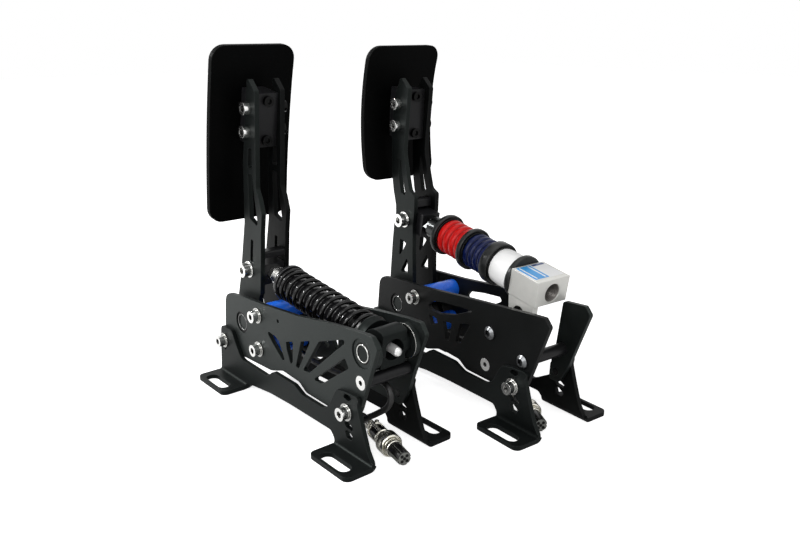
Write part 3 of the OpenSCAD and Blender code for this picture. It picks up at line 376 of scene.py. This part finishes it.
# Meshes
def mesh_object(name, verts, faces, look, smooth=True):
    me = bpy.data.meshes.new(name)
    me.from_pydata([tuple(v) for v in verts], [], faces)
    me.validate()
    me.update()
    ob = bpy.data.objects.new(name, me)
    scene.collection.objects.link(ob)
    me.materials.append(look)
    if smooth:
        me.polygons.foreach_set("use_smooth", [True] * len(me.polygons))
    return ob


def face_outwards(ob):
    """Merge points that coincide and turn all faces outwards."""
    bm = bmesh.new()
    bm.from_mesh(ob.data)
    bmesh.ops.remove_doubles(bm, verts=bm.verts, dist=1e-7)
    bmesh.ops.recalc_face_normals(bm, faces=bm.faces)
    bm.to_mesh(ob.data)
    bm.free()


def keep_edges(ob):
    """Shade smooth, but keep edges where the surface turns sharply."""
    sharp = math.radians(32)
    bm = bmesh.new()
    bm.from_mesh(ob.data)
    for e in bm.edges:
        if len(e.link_faces) == 2:
            e.smooth = e.calc_face_angle(0.0) < sharp
    bm.to_mesh(ob.data)
    bm.free()


def tube_faces(rings, n):
    """Faces that join rings of n points in order, and close both ends."""
    faces = []
    for i in range(rings - 1):
        for j in range(n):
            k = (j + 1) % n
            faces.append((i * n + j, i * n + k, (i + 1) * n + k, (i + 1) * n + j))
    faces.append(tuple(reversed(range(n))))
    faces.append(tuple((rings - 1) * n + j for j in range(n)))
    return faces


def tube(name, path, r, sides, look):
    """A closed round tube swept along path."""
    verts = []
    last = None
    for i, p in enumerate(path):
        a, b = path[max(0, i - 1)], path[min(len(path) - 1, i + 1)]
        d = (b - a).normalized()
        if last is None:
            side = d.orthogonal().normalized()
        else:
            side = (last - d * last.dot(d)).normalized()
        last = side
        up = d.cross(side)
        for j in range(sides):
            t = 2 * math.pi * j / sides
            verts.append(p + side * (r * math.cos(t)) + up * (r * math.sin(t)))
    return mesh_object(name, verts, tube_faces(len(path), sides), look)


def turned(name, place, profile, steps, look, second=None, pick=None, radial=None):
    """Revolve a closed profile of (a, r) points about a line.

    pick(i, j) says whether the face after point i and step j has the second look, and radial(a, r, t) moves
    a point in or out at angle t."""
    verts, faces, index = [], [], []
    m = len(profile)
    for j in range(steps):
        t = 2 * math.pi * j / steps
        for a, r in profile:
            q = radial(a, r, t) if radial else r
            verts.append(place(q * math.cos(t), a, q * math.sin(t)))
    for j in range(steps):
        k = (j + 1) % steps
        for i in range(m):
            q = (i + 1) % m
            faces.append((j * m + i, k * m + i, k * m + q, j * m + q))
            index.append(int(pick(i, j)) if pick else 0)
    ob = mesh_object(name, verts, faces, look)
    if second:
        ob.data.materials.append(second)
    ob.data.polygons.foreach_set("material_index", index)
    face_outwards(ob)
    keep_edges(ob)
    return ob


def dress(ob, body, slot, *names):
    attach(ob, body)
    if names:
        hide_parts(*names)
    return ob


# Plugs: cable clamp, shell with flats let into it, knurled coupling ring, slotted insert with sockets.
# A profile's points are (distance from the plug's start, radius). Its spans are the stretches that start
# at those points. Angles are in degrees.
FLAT_FROM, FLAT_TO, FLAT_DEPTH, FLAT_SPANS = 10.2, 19.4, 0.75, (12, 13, 14, 15)
FLAT_TURN, HALF_RIB = 20, 14
KNURL_FROM, KNURL_TO, KNURL_R, KNURL_DEPTH = 26.2, 30.6, 7.2, 0.14
SLOTS_FROM, SLOTS_R, SLOT_DEPTH, SLOT_SPANS = 33.5, 4.2, 0.9, (2, 3, 4)
SLOT_WIDE, SLOT_EVERY, SLOT_TURN = 15, 60, 6
FRONT_SPAN = 6
SHELL_STEPS, KNURL_STEPS, INSERT_STEPS = 144, 144, 120
SOCKET_CIRCLE = 2.35
CLAMP_SCREW_X, CLAMP_SCREW_AT = 2.6, 6.0


def line_place(place, at, to):
    """Places along a level line from a point of a unit towards another: x beside it, a along it, h up."""
    start = place(at)
    d = (place((to[0], to[1], at[2])) - start).normalized()
    side = d.cross(UP)
    return lambda x, a, h: start + (side * x + d * a + UP * h) * MM


def on_flat(angle):
    return HALF_RIB < (angle + FLAT_TURN) % 90 < 90 - HALF_RIB


def flats(a, r, t):
    """Four flats let into the shell, with ribs between them."""
    return r - FLAT_DEPTH if FLAT_FROM < a < FLAT_TO and on_flat(math.degrees(t)) else r


def flat_face(i, j):
    """The shell's black faces are those of its flats, judged one degree after each step."""
    return i in FLAT_SPANS and on_flat(j * 360 / SHELL_STEPS + 1)


def knurl(a, r, t):
    odd = int(round(t / (2 * math.pi) * KNURL_STEPS)) % 2
    return r - KNURL_DEPTH if odd and r > KNURL_R and KNURL_FROM < a < KNURL_TO else r


def slots(a, r, t):
    angle = (math.degrees(t) + SLOT_TURN) % SLOT_EVERY
    return r - SLOT_DEPTH if r > SLOTS_R and a > SLOTS_FROM and angle < SLOT_WIDE else r


def highlit_face(i, j):
    """The insert gets a painted highlight: its front and the walls of its slots are paler."""
    step = 360 // INSERT_STEPS
    walls = (SLOT_WIDE - step, SLOT_EVERY - step)
    return i == FRONT_SPAN or i in SLOT_SPANS and (step * j + SLOT_TURN) % SLOT_EVERY in walls


def plug_shell(name, on_plug):
    return turned(name, on_plug, [
        (0.2, 2.05), (0.2, 2.9), (0.7, 3.35), (2.6, 3.35), (2.9, 3.0), (4.4, 3.0), (4.7, 3.55),
        (7.4, 3.55), (8.0, 4.3), (8.3, 5.2), (8.8, 5.6), (10.0, 5.6), (10.21, 5.6), (12.5, 5.6),
        (15, 5.6), (17.5, 5.6), (19.39, 5.6), (19.6, 5.6), (20.6, 5.6), (20.9, 5.1), (21.8, 5.1),
        (22.1, 5.6), (24.0, 5.6), (24.0, 2.05),
    ], SHELL_STEPS, plug_metal, plug_black, flat_face, flats)


def plug_ring(name, on_plug):
    return turned(name, on_plug, [
        (24.05, 5.62), (24.05, 6.6), (24.5, 7.2), (25.2, 7.5), (26.0, 7.5), (26.21, 7.5), (28.4, 7.5),
        (30.59, 7.5), (30.9, 7.5), (31.9, 7.5), (32.6, 7.2), (33.0, 6.7), (32.8, 6.4), (31.6, 6.3),
        (31.2, 6.2), (31.2, 5.62),
    ], KNURL_STEPS, plug_metal, radial=knurl)


def plug_core(name, on_plug):
    return turned(name, on_plug, [
        (24.1, 2.0), (24.1, 5.58), (33.2, 5.58), (33.5, 5.35), (34.1, 5.35), (34.4, 5.58), (36.4, 5.58),
        (36.8, 5.3), (36.8, 5.05), (32.6, 5.05), (32.6, 2.0),
    ], steps=96, look=plug_metal)


def plug_insert(name, on_plug):
    return turned(name, on_plug, [
        (32.62, 0.0), (32.62, 4.82), (33.6, 4.95), (41, 4.8), (48.9, 4.6), (49.4, 4.35), (49.5, 4.0),
        (49.5, 0.0),
    ], INSERT_STEPS, plug_black, plug_highlight, highlit_face, slots)


# A socket is a near-black disc on the insert's front: painted shade where a hole would be
def plug_socket(name, on_plug, x, h):
    return turned(name, lambda u, a, v: on_plug(u + x, a, v + h), [
        (49.0, 0.0), (49.0, 1.1), (49.55, 1.1), (49.6, 1.0), (49.6, 0.9), (49.53, 0.8), (49.53, 0.0),
    ], steps=20, look=hole_shade)


def clamp_screw(name, on_plug, x):
    return turned(name, lambda u, a, v: on_plug(u + x, CLAMP_SCREW_AT + v, a), [
        (1.6, 0.0), (1.6, 1.0), (3.6, 1.0), (3.6, 1.45), (4.5, 1.45), (4.8, 1.2), (4.8, 0.4), (4.4, 0.4),
        (4.4, 0.0),
    ], steps=24, look=plug_metal)


def plug(label, place, at, to):
    on_plug = line_place(place, at, to)
    shell = plug_shell(f"{label}_plug_shell", on_plug)
    ring = plug_ring(f"{label}_plug_ring", on_plug)
    core = plug_core(f"{label}_plug_core", on_plug)
    insert = plug_insert(f"{label}_plug_insert", on_plug)
    corners = [math.pi * (0.25 + k / 2) for k in range(4)]
    holes = [(SOCKET_CIRCLE * math.cos(t), SOCKET_CIRCLE * math.sin(t)) for t in corners] + [(0.0, 0.0)]
    sockets = [plug_socket(f"{label}_plug_socket_{k}", on_plug, x, h) for k, (x, h) in enumerate(holes)]
    clamp = [clamp_screw(f"{label}_plug_screw_{k}", on_plug, x)
             for k, x in enumerate((-CLAMP_SCREW_X, CLAMP_SCREW_X))]
    pieces = [shell, ring, core, insert, *sockets, *clamp]
    for ob in pieces:
        slot = "plug_black" if ob is insert or ob in sockets else "plug_metal"
        dress(ob, "base", slot, "plug_shells", "plug_rings", "plug_inserts")
    return pieces


# Cables
CABLE = 4 * MM
THROTTLE_ROUTE = [
    (-14.7, 8.1, 26.1), (-14.4, 15, 25.9), (-12, 30, 25.8), (-8, 50, 27.5), (-5, 75, 30.5), (-2, 100, 35),
    (-0.5, 118, 40.5), (0, 130, 44), (0, 138.3, 45.2), (0.3, 144, 44.2), (0.6, 147.7, 40.4),
    (1, 147.9, 35.4), (1.7, 144.8, 30.2), (2.8, 138.3, 24.8), (4.6, 130.6, 19.4), (7, 122.8, 14.6),
    (8.9, 114.5, 11), (8, 106.5, 8.9), (2.3, 101.3, 7.8), (-4.5, 102.3, 7.6), (-7.6, 108.5, 7.6),
    (-5.6, 114, 7.6), (-3.8, 120, 7.6)]
BRAKE_ROUTE = [
    (11.1, 115.6, 68.5), (10.5, 107, 69), (8.5, 97, 66.5), (5.5, 89, 58), (3, 86, 46), (0, 85.5, 34),
    (-3.5, 87, 24), (-7.4, 90.4, 14.8), (-9.4, 95.8, 9.2), (-7.2, 101.4, 7.7), (-4.6, 107.2, 7.6)]
THROTTLE_PLUG_TO = (6.6, 167)
BRAKE_PLUG_TO = (15, 151)


def smooth_route(points, per):
    """The same curve as the source's cables, with per steps between two points."""
    n = len(points)
    out = []
    for k in range((n - 1) * per + 1):
        t = k / per
        i = min(n - 2, int(t))
        f = t - i
        a, b = points[max(0, i - 1)], points[i]
        c, d = points[i + 1], points[min(n - 1, i + 2)]
        out.append(0.5 * (2 * b + (c - a) * f + (2 * a - 5 * b + 4 * c - d) * f * f
                          + (3 * b - a - 3 * c + d) * f ** 3))
    return out


def cable(label, route, plug_to):
    place = UNITS[label]
    path = smooth_route([place(p) for p in route], per=8)
    ob = tube(f"{label}_cable_dressed", path, CABLE / 2, sides=16, look=cable_rubber)
    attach(ob, "base")
    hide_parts(f"{label}_cable")
    plug(label, place, route[-1], plug_to)
    return path


throttle_path = cable("throttle", THROTTLE_ROUTE, THROTTLE_PLUG_TO)
brake_path = cable("brake", BRAKE_ROUTE, BRAKE_PLUG_TO)

# Strain reliefs: a ribbed rubber sleeve that narrows along the first stretch of each cable
BOOT_LONG, BOOT_END_R = 12, 2.15
BOOT_RINGS, BOOT_SIDES = 49, 32
BOOT_RIB, RIBS_FROM, RIBS_TO, RINGS_PER_RIB = 0.3, 0.15, 0.9, 4


def along_path(path, s):
    """The point of a path at distance s from its start."""
    for a, b in zip(path, path[1:]):
        step = (b - a).length
        if s <= step:
            return a.lerp(b, s / step)
        s -= step
    return path[-1]


def boot(label, path, wide, high):
    """wide and high are the sleeve's half width and half height where it starts."""
    side = across(UNITS[label])
    verts = []
    for i in range(BOOT_RINGS):
        f = i / (BOOT_RINGS - 1)
        rib = BOOT_RIB if RIBS_FROM < f < RIBS_TO and (i // RINGS_PER_RIB) % 2 else 0.0
        middle = along_path(path, f * BOOT_LONG * MM)
        rx, rz = (max(BOOT_END_R, r + (BOOT_END_R - r) * f - rib) for r in (wide, high))
        for j in range(BOOT_SIDES):
            t = 2 * math.pi * j / BOOT_SIDES
            verts.append(middle + (side * (rx * math.cos(t)) + UP * (rz * math.sin(t))) * MM)
    ob = mesh_object(f"{label}_cable_boot", verts, tube_faces(BOOT_RINGS, BOOT_SIDES), cable_rubber)
    keep_edges(ob)
    dress(ob, "base", "cable_black")


boot("throttle", throttle_path, 2.25, 3.5)
boot("brake", brake_path, 3.2, 3.2)

# Frames along the two pushrods: x across, a along the rod, h up from it.
# Points seen from the side are (y, z).
PIVOT, TRUNNION = (0.0, 49.0), (144.5, 71.0)
THROTTLE_PIN, BRAKE_PIN = (0.7, 88.0), (-1.1, 114.8)
THROTTLE_FALL = math.degrees(math.atan2(THROTTLE_PIN[1] - TRUNNION[1], TRUNNION[0] - THROTTLE_PIN[0]))
BRAKE_FALL = 9.3


def rod_place(place, at, fall):
    c, s = math.cos(math.radians(fall)), math.sin(math.radians(fall))
    return lambda x, a, h: place((x, at[0] + a * c + h * s, at[1] - a * s + h * c))


def along(rod):
    """The direction of a rod, away from its clevis."""
    return tuple((rod(0, 1, 0) - rod(0, 0, 0)).normalized())


on_throttle_rod = rod_place(throttle, THROTTLE_PIN, THROTTLE_FALL)
on_brake_rod = rod_place(brake, BRAKE_PIN, BRAKE_FALL)

# Spring: the source's curls, round and fine, on its guide tube between the collar and the seat
SPRING_R, WIRE_R, CURLS, SPRING_L = 12.4, 1.4, 12, 90.0
STEPS_PER_CURL, SPRING_CLEAR, SPRING_KEEP = 36, 0.15, 0.8794
END_PITCH = 2.5 * WIRE_R
PITCH = (SPRING_L - 2 * WIRE_R - 2 * END_PITCH) / (CURLS - 2)
COLLAR_A, COLLAR_L, GUIDE_L = 34.0, 3.0, 76
SPRING_A = COLLAR_A + COLLAR_L
GUIDE_END = SPRING_A + GUIDE_L
SEAT_A, SEAT_B = 127.0, 134.2
TRUNNION_A, ROD_PAST_TRUNNION = 144.80, 11.2
ROD_A = 7.1
ROD_B = TRUNNION_A + ROD_PAST_TRUNNION


def rise(t):
    """How far the wire's middle is along the spring after t curls; the end curls lie close."""
    if t < 1:
        return WIRE_R + t * END_PITCH
    if t > CURLS - 1:
        return SPRING_L - WIRE_R - (CURLS - t) * END_PITCH
    return WIRE_R + END_PITCH + (t - 1) * PITCH


def throttle_spring():
    coil_r = SPRING_R - WIRE_R
    path = []
    for i in range(CURLS * STEPS_PER_CURL + 1):
        t = i / STEPS_PER_CURL
        a = rise(t) * (SPRING_L - 2 * SPRING_CLEAR) / SPRING_L + SPRING_CLEAR
        angle = 2 * math.pi * t
        path.append(on_throttle_rod(coil_r * math.cos(angle), SPRING_A + a, coil_r * math.sin(angle)))
    ob = tube("spring_dressed", path, WIRE_R * MM, sides=14, look=spring_black)
    dress(ob, "throttle_pushrod", "spring_black", "throttle_spring")
    along(on_throttle_rod)
    tuple(on_throttle_rod(0, SPRING_A, 0))
    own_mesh(ob)


def throttle_collar():
    """The collar and its guide tube in one turned piece."""
    ob = turned("spring_collar_dressed", on_throttle_rod, [
        (COLLAR_A, 3.05), (COLLAR_A, 12.2), (COLLAR_A + 0.3, 12.8), (COLLAR_A + 0.9, 13.0),
        (SPRING_A - 0.6, 13.0), (SPRING_A - 0.1, 12.7), (SPRING_A, 12.2), (SPRING_A, 8.9),
        (SPRING_A + 0.6, 8.6), (GUIDE_END - 0.5, 8.6), (GUIDE_END, 8.1), (GUIDE_END, 3.05),
    ], steps=72, look=guide_black)
    dress(ob, "throttle_pushrod", "black_anodised", "throttle_spring_collar")


def throttle_seat():
    ob = turned("spring_seat_dressed", on_throttle_rod, [
        (SEAT_A, 3.7), (SEAT_A, 12.0), (SEAT_A + 0.4, 12.6), (SEAT_A + 1.4, 12.9), (SEAT_A + 2.2, 12.5),
        (SEAT_A + 3.0, 12.3), (SEAT_B, 12.3), (SEAT_B, 3.7),
    ], steps=72, look=bracket_black)
    dress(ob, "base", "black_anodised", "throttle_spring_seat")


def throttle_rod():
    """The rod with its rounded end."""
    ob = turned("throttle_rod_dressed", on_throttle_rod, [
        (ROD_A, 0.0), (ROD_A, 2.98), (ROD_B - 2.4, 2.98), (ROD_B - 1.7, 2.88), (ROD_B - 1.0, 2.55),
        (ROD_B - 0.4, 1.9), (ROD_B - 0.1, 1.1), (ROD_B, 0.0),
    ], steps=48, look=steel_bright)
    dress(ob, "throttle_pushrod", "bright_steel", "throttle_rod")


throttle_spring()
throttle_collar()
throttle_seat()
throttle_rod()

# Rings on the shaft ends, each in a recess of the bush in the side plate; the recess is painted near-black,
# a painted shade in the gap
SHAFT_RING_FROM, SHAFT_RING_SHOULDER, SHAFT_RING_TO = 18.85, 19.45, 19.6
SHAFT_RING_HALF, SHAFT_RING_FLAT = 0.4, 0.2
# The ring's spans that form the recess, painted near-black as shade
RECESS_SPANS = (1, 2)


def shaft_place(place, at, way):
    """Places about a shaft across a unit, with a counted outwards from the unit's middle."""
    return lambda u, a, v: place((way * a, at[0] + u, at[1] + v))


def shaft_rings(label, place, at, r, recess_r, recess_a, look):
    outer, inner = r + SHAFT_RING_HALF, r - SHAFT_RING_HALF
    for name, way in (("right", 1), ("left", -1)):
        ob = turned(f"{label}_ring_{name}", shaft_place(place, at, way), [
            (SHAFT_RING_FROM, inner), (SHAFT_RING_FROM, recess_r), (recess_a, recess_r), (recess_a, outer),
            (SHAFT_RING_SHOULDER, outer), (SHAFT_RING_TO, r + SHAFT_RING_FLAT),
            (SHAFT_RING_TO, r - SHAFT_RING_FLAT), (SHAFT_RING_SHOULDER, inner),
        ], steps=64, look=look, second=hole_shade, pick=lambda i, j: i in RECESS_SPANS)
        dress(ob, "base", "dark_steel")


def trunnion_edge():
    """The pale rim of the trunnion's left flange."""
    ob = turned("trunnion_edge_ring", shaft_place(throttle, TRUNNION, -1), [
        (12.6, 10.7), (12.6, 11.1), (12.7, 11.2), (12.85, 11.2), (12.95, 11.1), (12.95, 10.7),
    ], steps=72, look=shaft_ring)
    dress(ob, "base", "dark_steel")


shaft_rings("throttle_pivot", throttle, PIVOT, 5.9, 7.95, 19.26, shaft_ring_dark)
shaft_rings("brake_pivot", brake, PIVOT, 5.9, 7.95, 19.26, shaft_ring_dark)
shaft_rings("trunnion", throttle, TRUNNION, 5.4, 6.78, 19.06, shaft_ring)
trunnion_edge()

# The brake rod's stack: ring 1, red, ring 2, navy, ring 3, white, ring 4, load cell
STACK_A, RING_L, MID_RING_L = 35.7, 4.2, 7.4
RED_L, NAVY_L, WHITE_L = 24.6, 20.4, 18.4
RING_2_A = STACK_A + RING_L + RED_L
RING_3_A = RING_2_A + RING_L + NAVY_L
RING_4_A = RING_3_A + MID_RING_L + WHITE_L
CELL_A = RING_4_A + RING_L
STACK_R, STACK_BORE = 15.2, 4.95
ELASTOMER_R, ELASTOMER_BORE, ELASTOMER_CLEAR = 12.8, 4.9, 0.1
LOBE_STEPS, LOBE_GAP, LOBE_POWER = 12, 0.02, 3


def ribbed(a0, long, lobes, deep):
    """Profile of an elastomer: lobes with rounded grooves between them."""
    start = a0 + ELASTOMER_CLEAR
    pts = [(start, ELASTOMER_BORE)]
    step = (long - 2 * ELASTOMER_CLEAR) / lobes
    for g in range(lobes):
        for k in range(LOBE_STEPS + 1):
            u = k / LOBE_STEPS
            depth = deep * abs(2 * u - 1) ** LOBE_POWER
            pts.append((start + step * (g + LOBE_GAP + (1 - 2 * LOBE_GAP) * u), ELASTOMER_R - depth))
    pts.append((a0 + long - ELASTOMER_CLEAR, ELASTOMER_BORE))
    return pts


def elastomer(colour, look, body, a0, long, lobes, deep):
    ob = turned(f"{colour}_dressed", on_brake_rod, ribbed(a0, long, lobes, deep), steps=120, look=look)
    dress(ob, body, f"rubber_{colour}", f"brake_elastomer_{colour}")
    along(on_brake_rod)
    tuple(on_brake_rod(0, a0, 0))
    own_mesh(ob)


def stack_ring(number, body, a0, long, turned_round=False):
    """A cup with a raised rim and a groove towards the elastomer after it, or before it if turned_round."""
    b0 = a0 + long
    pts = [
        (a0, STACK_BORE), (a0, 14.3), (a0 + 0.25, 14.95), (a0 + 0.9, STACK_R), (b0 - 0.9, STACK_R),
        (b0 - 0.25, 14.95), (b0, STACK_R - 0.9), (b0, 14.2), (b0 - 1.4, 14.0), (b0 - 1.4, 13.1),
        (b0, 12.95), (b0, STACK_BORE)]
    if turned_round:
        pts = [(a0 + b0 - a, r) for a, r in pts]
    name = f"brake_ring_{number}"
    ob = turned(f"{name}_dressed", on_brake_rod, pts, steps=84, look=ring_black)
    dress(ob, body, "black_anodised", name)


elastomer("red", rubber_red, "brake_pushrod", STACK_A + RING_L, RED_L,
          lobes=4, deep=1.5)
elastomer("navy", rubber_navy, "brake_stack_2", RING_2_A + RING_L, NAVY_L,
          lobes=4, deep=1.5)
elastomer("white", rubber_white, "brake_stack_3", RING_3_A + MID_RING_L, WHITE_L,
          lobes=1, deep=0.5)
stack_ring(1, "brake_pushrod", STACK_A, RING_L)
stack_ring(2, "brake_stack_2", RING_2_A, RING_L)
stack_ring(3, "brake_stack_3", RING_3_A, MID_RING_L)
stack_ring(4, "base", RING_4_A, RING_L, turned_round=True)

# Load cell: a thread in its hole, a bush in the hole of its leg, and a plain two-tone patch on its top
CELL_L = 24.5
HOLE_X, HOLE_H, HOLE_R, HOLE_L = -0.7, 0.1, 6.38, 14
CREST_R, ROOT_R, THREAD_PITCH, THREADS = 5.85, 6.25, 1.3, 9
LEG_HOLE = (125, 76.2)
LABEL_H, LABEL_THICK, LABEL_CORNER, CORNER_STEPS = 9.7, 0.1, 0.4, 6


def in_hole(x, a, h):
    return on_brake_rod(x + HOLE_X, a, h + HOLE_H)


def hole_thread():
    front = CELL_A + CELL_L
    foot = front - HOLE_L
    floor_a = front - (HOLE_L - 0.4)
    pts = [(foot, 0.0), (foot, HOLE_R), (front - 0.5, HOLE_R), (front - 1.1, CREST_R)]
    for k in range(THREADS):
        a = front - 1.7 - k * THREAD_PITCH
        pts += [(a, ROOT_R), (a - THREAD_PITCH / 2, CREST_R)]
    pts += [(floor_a, CREST_R), (floor_a, 0.0)]
    # Dark metal for the thread: painted shade inside the hole
    ob = turned("cell_thread", in_hole, pts, steps=64, look=cell_thread)
    dress(ob, "base", "cell_silver")


def leg_bush():
    ob = turned("cell_leg_bush", shaft_place(brake, LEG_HOLE, 1), [
        (8.5, 0.0), (8.5, 5.12), (12.7, 5.12), (12.9, 4.9), (12.9, 3.6), (11.4, 3.4), (11.4, 0.0),
    ], steps=48, look=bush_black)
    dress(ob, "base", "black_anodised")


def label_piece(name, x0, x1, a0, a1, layer, look):
    """A thin plate with rounded corners on the cell's top; a0 and a1 are counted from the cell's start."""
    h = LABEL_H + layer * LABEL_THICK
    left, right = x0 + LABEL_CORNER, x1 - LABEL_CORNER
    near, far = CELL_A + a0 + LABEL_CORNER, CELL_A + a1 - LABEL_CORNER
    outline = []
    for x, a, start in ((right, far, 0), (left, far, 90), (left, near, 180), (right, near, 270)):
        for k in range(CORNER_STEPS + 1):
            t = math.radians(start + k * 90 / CORNER_STEPS)
            outline.append((x + LABEL_CORNER * math.cos(t), a + LABEL_CORNER * math.sin(t)))
    n = len(outline)
    verts = [on_brake_rod(x, a, h) for x, a in outline]
    verts += [on_brake_rod(x, a, h + LABEL_THICK) for x, a in outline]
    faces = [tuple(range(n)), tuple(range(2 * n - 1, n - 1, -1))]
    faces += [(j, (j + 1) % n, n + (j + 1) % n, n + j) for j in range(n)]
    ob = mesh_object(name, verts, faces, look, smooth=False)
    face_outwards(ob)
    dress(ob, "base", "cell_silver")


hole_thread()
leg_bush()
label_piece("cell_label", -13.2, 12.4, 0.9, 20.5, 0, label_white)
label_piece("cell_label_band", -0.6, 11.6, 1.6, 19.9, 1, label_blue)
label_piece("cell_label_edge", -12.4, -1.6, 1.6, 3.8, 1, label_navy)
label_piece("cell_label_rule", 1.2, 2.4, 2.4, 19.1, 2, label_white)
label_piece("cell_label_rule_2", 8.9, 9.9, 2.4, 19.1, 2, label_white)

# Floor and backdrop, with distances from the middle of the floor in metres
FLOOR_SIDE, FLOOR_DROP = 8, 0.2 * MM


def white_paper():
    """Paper that the camera sees as nearly white, and that surfaces mirror dimmer near the part, a painted
    shadow of the part.
    """
    m, tree, shader = material("floor", rough=0.9)
    paper = ramp(tree, noise(tree, scale=9.0), (0.3, (0.86, 0.86, 0.86)), (0.7, (0.88, 0.88, 0.88)))
    feed(tree, shader, {"Base Color": paper})
    ray = add(tree, "ShaderNodeLightPath", {}).outputs
    reach = vector_number(tree, "LENGTH", object_coords(tree))
    # Painted shadow: what surfaces mirror of the floor is dimmer near the part
    shadow_in_mirror = span(tree, reach, low=0.12, high=0.5, start=0.13, end=0.34)
    mirrored = calculate(tree, "MULTIPLY", ray["Is Glossy Ray"], shadow_in_mirror)
    indirect = calculate(tree, "ADD", mirrored, ray["Is Transmission Ray"])
    seen = calculate(tree, "ADD", ray["Is Camera Ray"], indirect)
    level = calculate(tree, "MULTIPLY", seen, span(tree, reach, low=0.78, high=1.0, start=0.25, end=1.2))
    glow = add(tree, "ShaderNodeEmission", {"Strength": level}).outputs["Emission"]
    both = add(tree, "ShaderNodeAddShader", {0: shader.outputs["BSDF"], 1: glow})
    feed(tree, tree.nodes["Material Output"], {"Surface": both.outputs["Shader"]})
    return m


def backdrop():
    """A dim sky for light, which the camera, mirroring and clear surfaces see as plain white."""
    world = bpy.data.worlds.new("world")
    scene.world = world
    world.use_nodes = True
    tree = world.node_tree
    dim = tree.nodes["Background"]
    feed(tree, dim, {"Color": (1, 1, 1, 1), "Strength": 0.10})
    white = add(tree, "ShaderNodeBackground", {"Color": (1, 1, 1, 1), "Strength": 1.0})
    ray = add(tree, "ShaderNodeLightPath", {}).outputs
    indirect = calculate(tree, "ADD", ray["Is Glossy Ray"], ray["Is Transmission Ray"])
    seen = calculate(tree, "ADD", ray["Is Camera Ray"], indirect)
    both = add(tree, "ShaderNodeMixShader", {0: seen, 1: dim.outputs[0], 2: white.outputs[0]})
    feed(tree, tree.nodes["World Output"], {"Surface": both.outputs["Shader"]})


floor_look = white_paper()
bpy.ops.mesh.primitive_plane_add(size=FLOOR_SIDE, location=(0, 0, -FLOOR_DROP))
floor = bpy.context.object
floor.name = "floor"
floor.data.materials.append(floor_look)
backdrop()


# Lamps
def area(name, place, aim, side, power):
    """A square lamp at place, turned towards aim."""
    lamp = bpy.data.lights.new(name, "AREA")
    lamp.shape = "SQUARE"
    lamp.size = side
    lamp.energy = power
    ob = bpy.data.objects.new(name, lamp)
    scene.collection.objects.link(ob)
    ob.location = place
    ob.rotation_euler = (Vector(aim) - Vector(place)).to_track_quat("-Z", "Y").to_euler()


area("key", (1.3, 0.1, 0.7), aim=(0, 0, 0.1), side=0.9, power=9.3)
area("rim", (0.60, -0.72, 0.60), aim=(0.057, 0, 0.08), side=0.14, power=7.0)
area("fill", (-0.3, 1.4, 0.8), aim=(0, 0, 0.1), side=0.9, power=3.2)
area("front", (0.55, 0.6, 0.62), aim=(0, 0, 0.08), side=0.28, power=2.0)
area("top", (0.0, 0.0, 1.6), aim=(0, 0, 0), side=1.2, power=5.2)

scene.view_settings.view_transform = "Standard"
